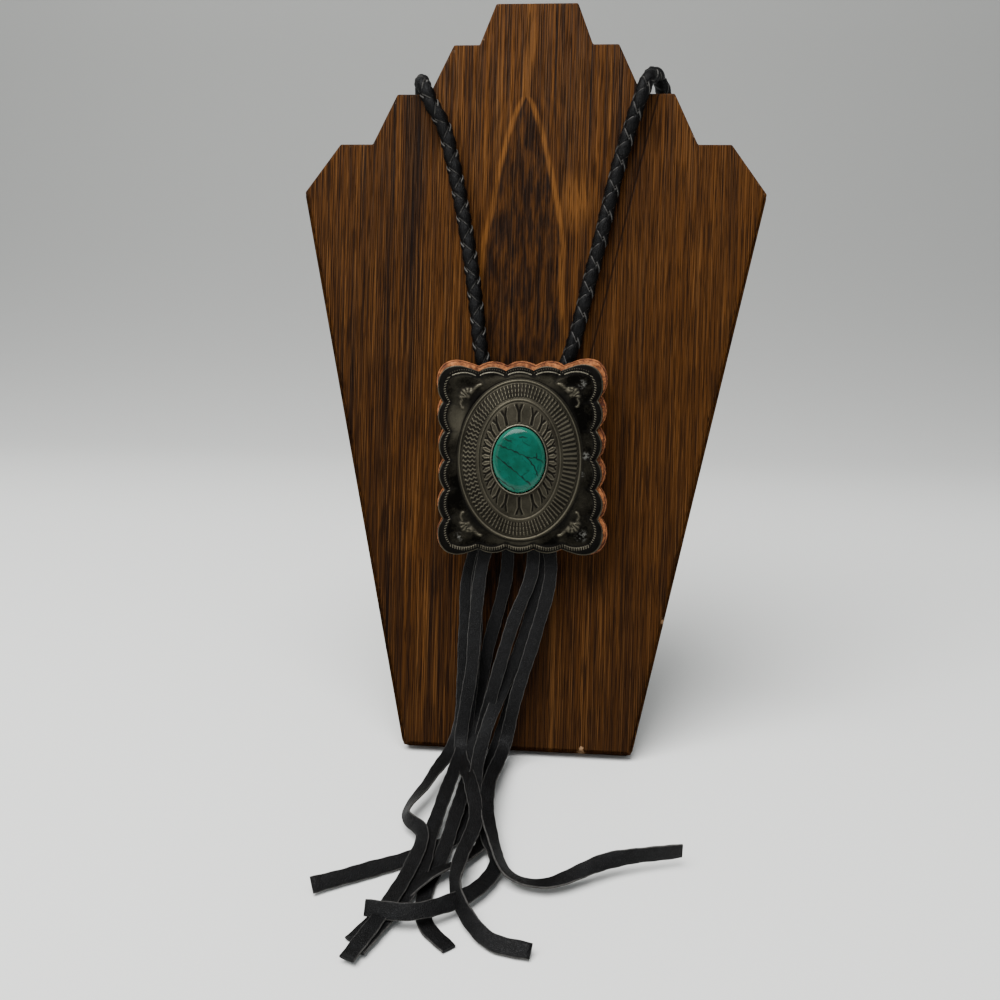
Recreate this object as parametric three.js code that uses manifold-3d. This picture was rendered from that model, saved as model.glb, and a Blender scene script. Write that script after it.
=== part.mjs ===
// A bolo tie hung round a plain stepped display board that leans back on an easel leg.
// Millimetres, +Z up. The board faces -Y and stands on its rear lower edge.
import * as THREE from "three";
import { mergeVertices } from "three/addons/utils/BufferGeometryUtils.js";
import Module from "manifold-3d";

const wasm = await Module();
wasm.setup();

// Display board
const leanDegrees = 14;
const boardThick = 12;
const boardHeight = 314;
const shoulderWidth = 194;
const cornerRound = 1.2;

// Easel leg
const legWidth = 40;
const legTop = 186;
const legSeat = 30;
const legReach = 100;
const legFoot = 12;

// Slide: cast metal plate, stone and leather backing
const slideUp = 122.5;
const slideAcross = -1;
const slideTurnDegrees = 1.6;
const conchoWidth = 67;
const conchoHeight = 77.2;
const scallopDepth = 2.3;
const edgeThick = 1.1;
const fieldThick = 2;
const domeThick = 5;
const domeWidth = 50.2;
const domeLength = 65.2;
const ringWidth = 32.4;
const ringLength = 47.4;
const rimRelief = 0.8;
const stampRelief = 0.45;
const barCount = 72;
const rayCount = 24;
const bezelWall = 0.7;
const bezelRise = 1.9;
const seatDepth = 1;
const stoneWidth = 21.2;
const stoneLength = 26.4;
const stoneThick = 5.2;
const leatherThick = 3.2;
const leatherMargin = 1.4;
const leatherShiftAcross = 0.6;
const leatherShiftUp = 1.4;

// Braided cord, its keeper behind the slide, and the leather laces of its unbraided ends
const cordDiameter = 6.6;
const cordSpacing = 8.8;
const keeperWall = 1.2;
const keeperLength = 12;
const knotDrop = 3;
const knotLength = 11;
const knotDiameter = 9.2;
const laceWidth = 6;
const laceThick = 1.2;
const fringeReach = 130;

// Clearances
const gap = 0.3;
const boreClearance = 0.3;

// Worked out from the sizes above
const lean = THREE.MathUtils.degToRad(leanDegrees);
const cordRadius = cordDiameter / 2;
const boreRadius = cordRadius + boreClearance;
const cordOut = gap + keeperWall + boreRadius;
const leatherOut = cordOut + boreRadius + keeperWall + gap;
const conchoOut = leatherOut + leatherThick + gap;
const stoneOut = conchoOut + domeThick - seatDepth + gap;
const knotTop = slideUp - keeperLength / 2 - gap - knotDrop;
const knotMiddle = knotTop - knotLength / 2;
const bezelWidth = stoneWidth + 2 * (gap + bezelWall);
const bezelLength = stoneLength + 2 * (gap + bezelWall);

// Half of the board's outline from the foot to the top
// across: share of half the shoulder width; up: share of the board's height
const boardOutline = [
  { across: 0.497, up: 0 },
  { across: 1, up: 0.748 },
  { across: 0.847, up: 0.813 },
  { across: 0.704, up: 0.813 },
  { across: 0.6, up: 0.88 },
  { across: 0.458, up: 0.88 },
  { across: 0.357, up: 0.9455 },
  { across: 0.245, up: 0.9455 },
  { across: 0.177, up: 1 },
];

// Cusps between the scallops in one quarter of the slide, from the middle of its side to the middle
// of its top, and the bulge of the scallop that starts there
// across, up: shares of half the slide's width and height; bulge: share of the scallop depth
const scallops = [
  { across: 0.925, up: 0, bulge: 1 },
  { across: 0.925, up: 0.308, bulge: 1 },
  { across: 0.945, up: 0.62, bulge: 0 },
  { across: 0.5, up: 0.938, bulge: 0.75 },
  { across: 0.168, up: 0.94, bulge: 0.75 },
];

// The corner lobe between its two cusps
// across, up: shares of half the slide's width and height
const cornerLobe = [
  { across: 0.945, up: 0.62 },
  { across: 1, up: 0.72 },
  { across: 0.995, up: 0.86 },
  { across: 0.93, up: 0.955 },
  { across: 0.835, up: 0.995 },
  { across: 0.73, up: 1 },
  { across: 0.62, up: 0.975 },
  { across: 0.5, up: 0.938 },
];

// Rings of the cast plate inside its edge
// inset: share of the way in from the scalloped edge; high: share of the field's thickness
const edgeRings = [
  { inset: 0.095, high: 0.92 },
  { inset: 0.11, high: 1.2 },
];

// Rings of the dome from its rim (oval 0) over the inner ring (oval 1) to the bezel (oval 2)
// rise: share of the way from the field's height to the dome's; rim, bars, fork, stem: shares of
// the relief of that kind that stands on the ring
const domeRings = [
  { oval: -0.05, rise: 0, rim: 0, bars: 0, fork: 0, stem: 0 },
  { oval: 0, rise: 0.12, rim: 1, bars: 0, fork: 0, stem: 0 },
  { oval: 0.1, rise: 0.16, rim: 1, bars: 0, fork: 0, stem: 0 },
  { oval: 0.26, rise: 0.32, rim: 0, bars: 1, fork: 0, stem: 0 },
  { oval: 0.76, rise: 0.66, rim: 0, bars: 1, fork: 0, stem: 0 },
  { oval: 0.9, rise: 0.72, rim: 0.5, bars: 0, fork: 0, stem: 0 },
  { oval: 1.05, rise: 0.76, rim: 0, bars: 0, fork: 0, stem: 0 },
  { oval: 1.2, rise: 0.82, rim: 0, bars: 0, fork: 1, stem: 0 },
  { oval: 1.5, rise: 0.9, rim: 0, bars: 0, fork: 0, stem: 1 },
  { oval: 1.88, rise: 0.98, rim: 0, bars: 0, fork: 0, stem: 1 },
];

// Profile of the stone from its girdle to the top
// reach: share of the half width; high: share of the thickness
const stoneRings = [
  { reach: 1, high: 0 },
  { reach: 1, high: 0.42 },
  { reach: 0.975, high: 0.6 },
  { reach: 0.89, high: 0.78 },
  { reach: 0.7, high: 0.92 },
  { reach: 0.4, high: 0.985 },
];

// Half of a knot's outline along the cord
// reach: share of the radius; up: share of the length
const knotOutline = [
  { reach: 0, up: 0 },
  { reach: 0.62, up: 0 },
  { reach: 0.95, up: 0.2 },
  { reach: 1, up: 0.5 },
  { reach: 0.95, up: 0.8 },
  { reach: 0.7, up: 1 },
  { reach: 0, up: 1 },
];

// Route of the braided cord from the left knot, round the back of the board, to the right knot,
// in millimetres: across the board, up it, and out from its face
const cordRoute = [
  [-5.4, 113.5, 5.1], [-5.4, 121, 5.1], [-5.6, 129, 5.1], [-8.8, 142, 4.6], [-14.6, 154, 4.1],
  [-19, 167, 3.8], [-21.4, 184, 3.7], [-24.7, 206, 3.7], [-29.2, 229, 3.7], [-33.4, 247, 3.9],
  [-37.4, 261, 5.2], [-42.6, 270, 7], [-46.3, 278, 5.3], [-48.6, 282.2, -5], [-50, 278.8, -16],
  [-49.2, 268, -19.6], [-47.6, 248, -24.5], [-42.5, 228, -29.5], [-32.5, 211, -33.5], [-17, 200, -36.5],
  [3, 196, -37.5], [23, 200, -36.5], [39, 211, -33.5], [49.5, 228, -29.5], [55, 248, -24.5],
  [56.8, 270, -19.6], [55, 281, -15.6], [50.8, 285.8, -6], [46.6, 280.6, 4.2], [43.6, 271.5, 7],
  [40.2, 261, 5.2], [36.7, 249, 3.9], [33.2, 234, 3.7], [29.2, 215, 3.7], [24.6, 195, 3.7],
  [18.8, 170, 3.8], [12.6, 154, 4.1], [6.8, 142, 4.6], [3.6, 129, 5.1], [3.4, 121, 5.1], [3.4, 113.5, 5.1],
];

// Laces of the two unbraided ends
// knot: -1 for the left end, 1 for the right end; layer: where it lies in the knot, from the back to
// the front, as a share of the knot's radius
// hang: the stretch in front of the board. across: share of half the slide's width; up: share of the
// knots' height; out: distance from the board in lace widths
// lie: the stretch over the surface. across, forward: shares of the fringe's reach; high: in lace
// widths; face: the way the flat side looks, 0 for forward and 90 for up; turn: how far it is then
// twisted about its path, in degrees
const laces = [
  {
    knot: -1,
    layer: -0.45,
    hang: [
      { across: -0.65, up: 0.705, out: 0.35 },
      { across: -0.68, up: 0.435, out: 0.6 },
      { across: -0.72, up: 0.08, out: 1.05 },
    ],
    lie: [
      { across: -0.242, forward: 0.27, high: 1.3, face: 30, turn: 35 },
      { across: -0.284, forward: 0.44, high: 1, face: 40, turn: 60 },
      { across: -0.226, forward: 0.515, high: 0.95, face: 75, turn: 20 },
      { across: -0.23, forward: 0.66, high: 0.85, face: 80 },
      { across: -0.275, forward: 0.86, high: 0.7, face: 85 },
      { across: -0.325, forward: 1, high: 0.4, face: 85 },
    ],
  },
  {
    knot: -1,
    layer: 0.45,
    hang: [
      { across: -0.46, up: 0.75, out: 1.45 },
      { across: -0.53, up: 0.53, out: 1.75 },
      { across: -0.55, up: 0.35, out: 2 },
      { across: -0.66, up: 0.04, out: 2.3 },
    ],
    lie: [
      { across: -0.11, forward: 0.33, high: 1.9, face: 50 },
      { across: -0.08, forward: 0.48, high: 1.5, face: 65 },
      { across: -0.103, forward: 0.65, high: 1.2, face: 75 },
      { across: -0.098, forward: 0.77, high: 1.1, face: 75, turn: 60 },
      { across: -0.055, forward: 0.85, high: 0.65, face: 75, turn: 45 },
      { across: 0.005, forward: 0.91, high: 0.4, face: 60 },
      { across: 0.1, forward: 0.935, high: 0.4, face: 55 },
    ],
  },
  {
    knot: -1,
    layer: -0.15,
    hang: [
      { across: -0.52, up: 0.705, out: 0.65 },
      { across: -0.54, up: 0.435, out: 0.95 },
      { across: -0.62, up: 0.08, out: 1.35 },
    ],
    lie: [
      { across: -0.185, forward: 0.33, high: 1.25, face: 45 },
      { across: -0.2, forward: 0.5, high: 0.85, face: 65 },
      { across: -0.21, forward: 0.71, high: 0.6, face: 80 },
      { across: -0.308, forward: 0.97, high: 0.35, face: 85 },
    ],
  },
  {
    knot: -1,
    layer: 0.15,
    hang: [
      { across: -0.18, up: 0.685, out: 0.5 },
      { across: -0.38, up: 0.405, out: 0.65 },
      { across: -0.52, up: 0.12, out: 0.8 },
    ],
    lie: [
      { across: -0.12, forward: 0.32, high: 0.8, face: 50 },
      { across: -0.12, forward: 0.475, high: 0.5, face: 60 },
      { across: -0.21, forward: 0.575, high: 0.4, face: 50 },
      { across: -0.35, forward: 0.67, high: 0.45, face: 40 },
      { across: -0.475, forward: 0.75, high: 0.55, face: 40 },
    ],
  },
  {
    knot: 1,
    layer: 0.4,
    hang: [
      { across: 0.15, up: 0.715, out: 1.5 },
      { across: -0.06, up: 0.52, out: 1.7 },
      { across: -0.25, up: 0.3, out: 1.85 },
      { across: -0.47, up: 0.02, out: 1.85 },
    ],
    lie: [
      { across: -0.14, forward: 0.38, high: 1.1, face: 60 },
      { across: -0.16, forward: 0.6, high: 0.5, face: 75 },
      { across: -0.183, forward: 0.74, high: 0.2, face: 90 },
      { across: -0.163, forward: 0.85, high: 0.15, face: 90 },
      { across: -0.095, forward: 0.93, high: 0.15, face: 90 },
    ],
  },
  {
    knot: 1,
    layer: 0.1,
    hang: [
      { across: 0.24, up: 0.705, out: 1.1 },
      { across: 0.03, up: 0.415, out: 1.35 },
      { across: -0.33, up: 0.13, out: 2.2 },
    ],
    lie: [
      { across: -0.099, forward: 0.325, high: 1.5, face: 60 },
      { across: -0.055, forward: 0.5, high: 0.45, face: 80 },
      { across: -0.09, forward: 0.59, high: 0.5, face: 60, turn: 45 },
      { across: -0.18, forward: 0.7, high: 0.75, face: 55, turn: 45 },
      { across: -0.266, forward: 0.81, high: 0.3, face: 70 },
      { across: -0.332, forward: 0.925, high: 0.15, face: 85 },
    ],
  },
  {
    knot: 1,
    layer: -0.45,
    hang: [
      { across: 0.26, up: 0.705, out: 0.65 },
      { across: 0.08, up: 0.365, out: 1 },
      { across: -0.2, up: 0.06, out: 1.3 },
    ],
    lie: [
      { across: -0.078, forward: 0.31, high: 1.1, face: 60 },
      { across: -0.046, forward: 0.5, high: 0.8, face: 80 },
      { across: -0.01, forward: 0.61, high: 0.55, face: 70 },
      { across: -0.058, forward: 0.75, high: 0.75, face: 45 },
      { across: -0.19, forward: 0.857, high: 1.05, face: 40 },
      { across: -0.315, forward: 0.845, high: 0.9, face: 35 },
    ],
  },
  {
    knot: 1,
    layer: -0.15,
    hang: [
      { across: 0.38, up: 0.725, out: 1.3 },
      { across: 0.21, up: 0.465, out: 1.5 },
      { across: 0, up: 0.235, out: 1.7 },
      { across: -0.12, up: 0.05, out: 1.75 },
    ],
    lie: [
      { across: -0.06, forward: 0.345, high: 1.7, face: 60 },
      { across: -0.032, forward: 0.525, high: 1.3, face: 60, turn: -40 },
      { across: 0.03, forward: 0.665, high: 0.65, face: 45, turn: -60 },
      { across: 0.12, forward: 0.69, high: 0.6, face: 45, turn: -55 },
      { across: 0.29, forward: 0.607, high: 1.1, face: 25 },
      { across: 0.485, forward: 0.545, high: 1.1, face: 25, turn: 30 },
    ],
  },
];

// Solids and geometries
function closedSolid(geometry) {
  const bare = geometry.clone();
  bare.deleteAttribute("normal");
  bare.deleteAttribute("uv");
  const merged = mergeVertices(bare, 1e-4);
  const mesh = new wasm.Mesh({
    numProp: 3,
    vertProperties: new Float32Array(merged.attributes.position.array),
    triVerts: new Uint32Array(merged.index.array),
  });
  return new wasm.Manifold(mesh);
}

function geometryOf(solid) {
  const mesh = solid.getMesh();
  return geometryFrom(Array.from(mesh.vertProperties), Array.from(mesh.triVerts));
}

function geometryFrom(numbers, triangles) {
  const geometry = new THREE.BufferGeometry();
  geometry.setAttribute("position", new THREE.Float32BufferAttribute(numbers, 3));
  geometry.setIndex(triangles);
  geometry.computeVertexNormals();
  return geometry;
}

function piece(name, geometry, color, roughness, metalness = 0) {
  const material = new THREE.MeshStandardMaterial({ color, roughness, metalness });
  const mesh = new THREE.Mesh(geometry, material);
  mesh.name = name;
  return mesh;
}

// A closed body from rings of points that all have the same count, with a flat lid at either end
function bodyFromRings(rings) {
  const count = rings[0].length;
  const numbers = rings.flat().flatMap((p) => [p.x, p.y, p.z]);
  const triangles = [];
  for (let r = 0; r + 1 < rings.length; r += 1) {
    for (let i = 0; i < count; i += 1) {
      const a = r * count + i;
      const b = r * count + ((i + 1) % count);
      triangles.push(a, b, b + count, a, b + count, a + count);
    }
  }
  for (const r of [0, rings.length - 1]) {
    const middle = new THREE.Vector3();
    rings[r].forEach((p) => middle.addScaledVector(p, 1 / count));
    const hub = numbers.length / 3;
    numbers.push(middle.x, middle.y, middle.z);
    for (let i = 0; i < count; i += 1) {
      const a = r * count + i;
      const b = r * count + ((i + 1) % count);
      triangles.push(hub, ...(r === 0 ? [b, a] : [a, b]));
    }
  }
  return geometryFrom(numbers, triangles);
}

// A polygon with each corner rounded by a short curve
function roundedShape(corners, round) {
  const shape = new THREE.Shape();
  corners.forEach((corner, k) => {
    const before = corners[(k + corners.length - 1) % corners.length];
    const after = corners[(k + 1) % corners.length];
    const start = corner.clone().add(before.clone().sub(corner).setLength(round));
    const end = corner.clone().add(after.clone().sub(corner).setLength(round));
    if (k === 0) {
      shape.moveTo(start.x, start.y);
    } else {
      shape.lineTo(start.x, start.y);
    }
    shape.quadraticCurveTo(corner.x, corner.y, end.x, end.y);
  });
  shape.closePath();
  return shape;
}

// Display board: a stepped outline cut from plank, its face on the group's own z = 0
function boardGeometry() {
  const half = boardOutline.map((row) => new THREE.Vector2(
    row.across * shoulderWidth / 2,
    row.up * boardHeight,
  ));
  const mirrored = half.map((p) => new THREE.Vector2(-p.x, p.y)).reverse();
  const shape = roundedShape([...half, ...mirrored], cornerRound);
  const geometry = new THREE.ExtrudeGeometry(shape, {
    depth: boardThick,
    bevelEnabled: false,
    curveSegments: 2,
  });
  return geometry.translate(0, 0, -boardThick);
}

// Easel leg: a tapered strut from the back of the board to the surface
function legGeometry() {
  const seat = (up) => new THREE.Vector2(
    up * Math.sin(lean) + (boardThick + gap) * Math.cos(lean),
    up * Math.cos(lean) - gap * Math.sin(lean),
  );
  const profile = [
    seat(legTop),
    seat(legTop - legSeat),
    new THREE.Vector2(legReach - legFoot, 0),
    new THREE.Vector2(legReach, 0),
  ];
  const geometry = new THREE.ExtrudeGeometry(new THREE.Shape(profile), {
    depth: legWidth,
    bevelEnabled: false,
  });
  const turn = new THREE.Matrix4().set(0, 0, 1, -legWidth / 2, 1, 0, 0, 0, 0, 1, 0, 0, 0, 0, 0, 1);
  return geometry.applyMatrix4(turn);
}

// Scalloped outline of the slide, eight points to a scallop, anticlockwise from the right side
const pointsPerScallop = 8;

function scallopPoint(from, to, share, depth) {
  const along = to.clone().sub(from);
  const outward = new THREE.Vector2(along.y, -along.x).normalize();
  const point = from.clone().addScaledVector(along, share);
  return point.addScaledVector(outward, depth * 4 * share * (1 - share));
}

// One quarter, with the middle of the side and of the top
function quarterOutline(width, height) {
  const place = (row) => new THREE.Vector2(row.across * width / 2, row.up * height / 2);
  const corner = new THREE.SplineCurve(cornerLobe.map(place));
  const points = [];
  scallops.forEach((row, k) => {
    const from = place(row);
    const last = k === scallops.length - 1;
    const to = last ? new THREE.Vector2(-from.x, from.y) : place(scallops[k + 1]);
    const count = last ? pointsPerScallop / 2 + 1 : pointsPerScallop;
    for (let i = 0; i < count; i += 1) {
      const share = i / pointsPerScallop;
      const onScallop = scallopPoint(from, to, share, row.bulge * scallopDepth);
      points.push(row.bulge === 0 ? corner.getPointAt(share) : onScallop);
    }
  });
  return points;
}

function slideOutline(width, height) {
  const quarter = quarterOutline(width, height);
  const mirrored = quarter.slice(1, -1).map((p) => new THREE.Vector2(-p.x, p.y)).reverse();
  const upper = [...quarter, ...mirrored];
  return [...upper, ...upper.map((p) => new THREE.Vector2(-p.x, -p.y))];
}

// Cast plate: scalloped edge, roped border, oval dome with stamped bars and rays, and the bezel
function conchoGeometry() {
  const edge = slideOutline(conchoWidth, conchoHeight);
  const count = edge.length;
  const ovals = [
    [domeWidth / 2, domeLength / 2],
    [ringWidth / 2, ringLength / 2],
    [bezelWidth / 2, bezelLength / 2],
  ];
  const ovalPoint = (i, a, b, high) => {
    const angle = 2 * Math.PI * i / count;
    return new THREE.Vector3(a * Math.cos(angle), b * Math.sin(angle), high);
  };
  const ring = (make) => edge.map((p, i) => make(p, i));
  const barEvery = count / barCount;
  const rayEvery = count / rayCount;
  const rings = [
    ring((p) => new THREE.Vector3(p.x, p.y, 0)),
    ring((p) => new THREE.Vector3(p.x, p.y, edgeThick)),
  ];
  for (const row of edgeRings) {
    const share = 1 - row.inset;
    rings.push(ring((p) => new THREE.Vector3(p.x * share, p.y * share, row.high * fieldThick)));
  }
  for (const row of domeRings) {
    const k = Math.min(Math.max(Math.floor(row.oval), 0), 1);
    const share = row.oval - k;
    const a = ovals[k][0] + (ovals[k + 1][0] - ovals[k][0]) * share;
    const b = ovals[k][1] + (ovals[k + 1][1] - ovals[k][1]) * share;
    const base = fieldThick + row.rise * (domeThick - fieldThick) + row.rim * rimRelief;
    rings.push(ring((p, i) => {
      const onBar = i % barEvery < barEvery / 2;
      const onRay = Math.min(i % rayEvery, rayEvery - (i % rayEvery));
      const fork = onRay === 1 ? row.fork : 0;
      const stem = onRay === 0 ? row.stem : 0;
      return ovalPoint(i, a, b, base + stampRelief * ((onBar ? row.bars : 0) + fork + stem));
    }));
  }
  const bezelTop = domeThick + bezelRise;
  const innerWidth = bezelWidth / 2 - bezelWall;
  const innerLength = bezelLength / 2 - bezelWall;
  rings.push(
    ring((p, i) => ovalPoint(i, bezelWidth / 2, bezelLength / 2, domeThick)),
    ring((p, i) => ovalPoint(i, bezelWidth / 2, bezelLength / 2, bezelTop)),
    ring((p, i) => ovalPoint(i, innerWidth, innerLength, bezelTop)),
    ring((p, i) => ovalPoint(i, innerWidth, innerLength, domeThick - seatDepth)),
  );
  return bodyFromRings(rings);
}

// Cabochon: a low oval dome with an upright girdle
function stoneGeometry() {
  const sides = 36;
  const rings = stoneRings.map((row) => Array.from({ length: sides }, (_, i) => {
    const angle = 2 * Math.PI * i / sides;
    return new THREE.Vector3(
      row.reach * stoneWidth / 2 * Math.cos(angle),
      row.reach * stoneLength / 2 * Math.sin(angle),
      row.high * stoneThick,
    );
  }));
  return bodyFromRings(rings);
}

// Leather backing: the slide's outline with a margin, cut from sole leather
function leatherGeometry() {
  const outline = slideOutline(conchoWidth + 2 * leatherMargin, conchoHeight + 2 * leatherMargin);
  return new THREE.ExtrudeGeometry(new THREE.Shape(outline), {
    depth: leatherThick,
    bevelEnabled: false,
  });
}

// Keeper behind the slide: a short block with a bore for each end of the cord
function keeperGeometry() {
  const outer = boreRadius + keeperWall;
  const shape = new THREE.Shape();
  shape.absarc(cordSpacing / 2, 0, outer, -Math.PI / 2, Math.PI / 2, false);
  shape.absarc(-cordSpacing / 2, 0, outer, Math.PI / 2, 1.5 * Math.PI, false);
  for (const side of [-1, 1]) {
    const bore = new THREE.Path();
    bore.absarc(side * cordSpacing / 2, 0, boreRadius, 0, 2 * Math.PI, true);
    shape.holes.push(bore);
  }
  const geometry = new THREE.ExtrudeGeometry(shape, {
    depth: keeperLength,
    bevelEnabled: false,
    curveSegments: 8,
  });
  return geometry.rotateX(-Math.PI / 2);
}

// Braided cord: a round tube along its route
function cordGeometry() {
  const sides = 8;
  const steps = 76;
  const section = new THREE.Shape(Array.from({ length: sides }, (_, i) => {
    const angle = 2 * Math.PI * (i + 0.5) / sides;
    return new THREE.Vector2(cordRadius * Math.cos(angle), cordRadius * Math.sin(angle));
  }));
  const route = new THREE.CatmullRomCurve3(cordRoute.map((p) => new THREE.Vector3(...p)));
  return new THREE.ExtrudeGeometry(section, { steps, bevelEnabled: false, extrudePath: route });
}

// From the board's own axes to the surface it stands on
function fromBoard(across, up, out) {
  return new THREE.Vector3(
    across,
    up * Math.sin(lean) - out * Math.cos(lean),
    up * Math.cos(lean) + out * Math.sin(lean) + boardThick * Math.sin(lean),
  );
}

// One lace: a flat strip along a smooth path, turned so that its flat side looks the way each row says
function laceGeometry(lace) {
  const places = [];
  const faces = [];
  const turns = [];
  const knotAcross = slideAcross + lace.knot * cordSpacing / 2;
  const knotOut = cordOut + lace.layer * knotDiameter / 2;
  const first = lace.hang[0];
  places.push(fromBoard(knotAcross, knotMiddle, knotOut));
  places.push(fromBoard(
    knotAcross + (first.across * conchoWidth / 2 - knotAcross) * 0.45,
    knotMiddle - knotLength * 0.75,
    (knotOut + first.out * laceWidth) / 2,
  ));
  faces.push(leanDegrees, leanDegrees);
  turns.push(0, 0);
  for (const row of lace.hang) {
    places.push(fromBoard(row.across * conchoWidth / 2, row.up * knotMiddle, row.out * laceWidth));
    faces.push(leanDegrees);
    turns.push(0);
  }
  for (const row of lace.lie) {
    places.push(new THREE.Vector3(
      row.across * fringeReach,
      -row.forward * fringeReach,
      row.high * laceWidth,
    ));
    faces.push(row.face);
    turns.push(row.turn ?? 0);
  }
  const path = new THREE.CatmullRomCurve3(places, false, "centripetal");
  const sections = 2 * places.length;
  const rings = [];
  for (let i = 0; i <= sections; i += 1) {
    const share = i / sections;
    const middle = path.getPoint(share);
    const along = path.getTangent(share);
    const row = share * (places.length - 1);
    const k = Math.min(Math.floor(row), places.length - 2);
    const face = THREE.MathUtils.degToRad(THREE.MathUtils.lerp(faces[k], faces[k + 1], row - k));
    const turn = THREE.MathUtils.degToRad(THREE.MathUtils.lerp(turns[k], turns[k + 1], row - k));
    const looks = new THREE.Vector3(0, -Math.cos(face), Math.sin(face)).applyAxisAngle(along, turn);
    const across = along.clone().cross(looks).setLength(laceWidth / 2);
    const through = across.clone().cross(along).setLength(laceThick / 2);
    rings.push([
      middle.clone().add(across).add(through),
      middle.clone().add(across).sub(through),
      middle.clone().sub(across).sub(through),
      middle.clone().sub(across).add(through),
    ]);
  }
  return bodyFromRings(rings);
}

// Fringe: the laces of both ends, fused to the knots that finish the braids
function fringeGeometry() {
  const profile = knotOutline.map((row) => new THREE.Vector2(
    row.reach * knotDiameter / 2,
    row.up * knotLength,
  ));
  const tilt = new THREE.Matrix4().makeRotationX(-lean);
  const solids = [];
  for (const side of [-1, 1]) {
    const foot = fromBoard(slideAcross + side * cordSpacing / 2, knotTop - knotLength, cordOut);
    const knot = new THREE.LatheGeometry(profile, 12).rotateX(Math.PI / 2);
    solids.push(closedSolid(knot.applyMatrix4(tilt).translate(foot.x, foot.y, foot.z)));
  }
  laces.forEach((lace) => solids.push(closedSolid(laceGeometry(lace))));
  const whole = solids.reduce((sum, solid) => sum.add(solid));
  // A pocket that crossing laces close in has a skin of negative volume, and is filled
  const bodies = whole.decompose().filter((body) => body.volume() > 0);
  return geometryOf(bodies.reduce((sum, body) => sum.add(body)));
}

// Assembly
const tie = new THREE.Group();

const board = new THREE.Group();
board.rotation.x = Math.PI / 2 - lean;
board.position.z = boardThick * Math.sin(lean);
tie.add(board);
board.add(piece("stand_board", boardGeometry(), 0x5a3218, 0.55));
board.add(piece("neck_cord", cordGeometry(), 0x141416, 0.6));

const slide = new THREE.Group();
slide.position.set(slideAcross, slideUp, 0);
slide.rotation.z = THREE.MathUtils.degToRad(slideTurnDegrees);
board.add(slide);

const leather = piece("leather_backing", leatherGeometry(), 0xb8643a, 0.8);
leather.position.set(leatherShiftAcross, leatherShiftUp, leatherOut);
slide.add(leather);

const concho = piece("concho", conchoGeometry(), 0x4a463f, 0.42, 0.9);
concho.position.z = conchoOut;
slide.add(concho);

const stone = piece("stone", stoneGeometry(), 0x0d9b82, 0.15);
stone.position.z = stoneOut;
slide.add(stone);

const keeper = piece("cord_keeper", keeperGeometry(), 0x8c8a86, 0.4, 0.9);
keeper.position.set(slideAcross, slideUp - keeperLength / 2, cordOut);
board.add(keeper);

tie.add(piece("stand_leg", legGeometry(), 0x5a3218, 0.6));
tie.add(piece("fringe", fringeGeometry(), 0x161618, 0.65));

// The origin lies on the surface, under the middle of the whole
tie.updateMatrixWorld(true);
const box = new THREE.Box3().setFromObject(tie, true);
tie.position.set(-(box.min.x + box.max.x) / 2, -(box.min.y + box.max.y) / 2, -box.min.z);

export default tie;
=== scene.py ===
"""Looks of a bolo tie hung on a stepped wooden display stand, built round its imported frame.

Metres, +Z up. The board faces -Y. Every piece takes its place from the frame's own nodes.
"""

import logging
import math
from dataclasses import dataclass, field
from enum import Enum

import bmesh
import bpy
import numpy as np
from mathutils import Matrix, Vector

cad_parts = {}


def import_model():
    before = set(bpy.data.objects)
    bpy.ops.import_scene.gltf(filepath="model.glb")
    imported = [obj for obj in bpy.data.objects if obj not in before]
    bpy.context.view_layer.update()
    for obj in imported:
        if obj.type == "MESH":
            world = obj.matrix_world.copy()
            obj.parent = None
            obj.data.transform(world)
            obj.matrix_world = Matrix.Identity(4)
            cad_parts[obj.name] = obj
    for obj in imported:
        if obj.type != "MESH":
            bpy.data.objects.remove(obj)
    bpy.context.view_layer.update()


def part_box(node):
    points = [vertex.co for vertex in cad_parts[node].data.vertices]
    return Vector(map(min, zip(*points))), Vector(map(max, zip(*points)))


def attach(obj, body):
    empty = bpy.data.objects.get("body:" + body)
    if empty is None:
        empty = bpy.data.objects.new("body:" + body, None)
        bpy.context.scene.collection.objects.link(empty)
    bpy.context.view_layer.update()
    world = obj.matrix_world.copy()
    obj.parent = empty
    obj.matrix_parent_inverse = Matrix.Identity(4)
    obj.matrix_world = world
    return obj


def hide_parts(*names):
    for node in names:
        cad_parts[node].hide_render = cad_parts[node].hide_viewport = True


LOG = logging.getLogger("bolo_tie")
MM = 0.001

# Stand
LEAN = math.radians(14)
BOARD_THICK = 12 * MM
BOARD_HEIGHT = 314 * MM
SHOULDER_HALF = 97 * MM
EDGE_ROUND = 0.9 * MM
LEG_WIDTH = 40 * MM
LEG_TOP = 186 * MM
LEG_SEAT = 30 * MM
LEG_REACH = 100 * MM
LEG_FOOT = 12 * MM

# Slide
SLIDE_ACROSS = -1 * MM
SLIDE_UP = 122.5 * MM
SLIDE_TURN = math.radians(1.6)
SLIDE_HALF = 33.5 * MM
CONCHO_HALF_HEIGHT = 38.6 * MM
SCALLOP_DEPTH = 2.3 * MM
LEATHER_THICK = 3.2 * MM
LEATHER_MARGIN = 1.4 * MM
LEATHER_SHIFT = (0.6 * MM, 1.4 * MM)
STONE_HALF = (10.6 * MM, 13.2 * MM)
STONE_THICK = 5.2 * MM
BEZEL_WALL = 0.7 * MM
BEZEL_RISE = 1.9 * MM
STONE_SINK = 1 * MM
GAP = 0.3 * MM

# Plate, in millimetres: half width and half height of the dome's rim, of its inner ring and of the
# frame of arcs round it
DOME_RIM = (25.1, 32.6)
INNER_RING = (16.2, 23.7)
FRAME_HALF = (28.6, 34.0)

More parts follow.
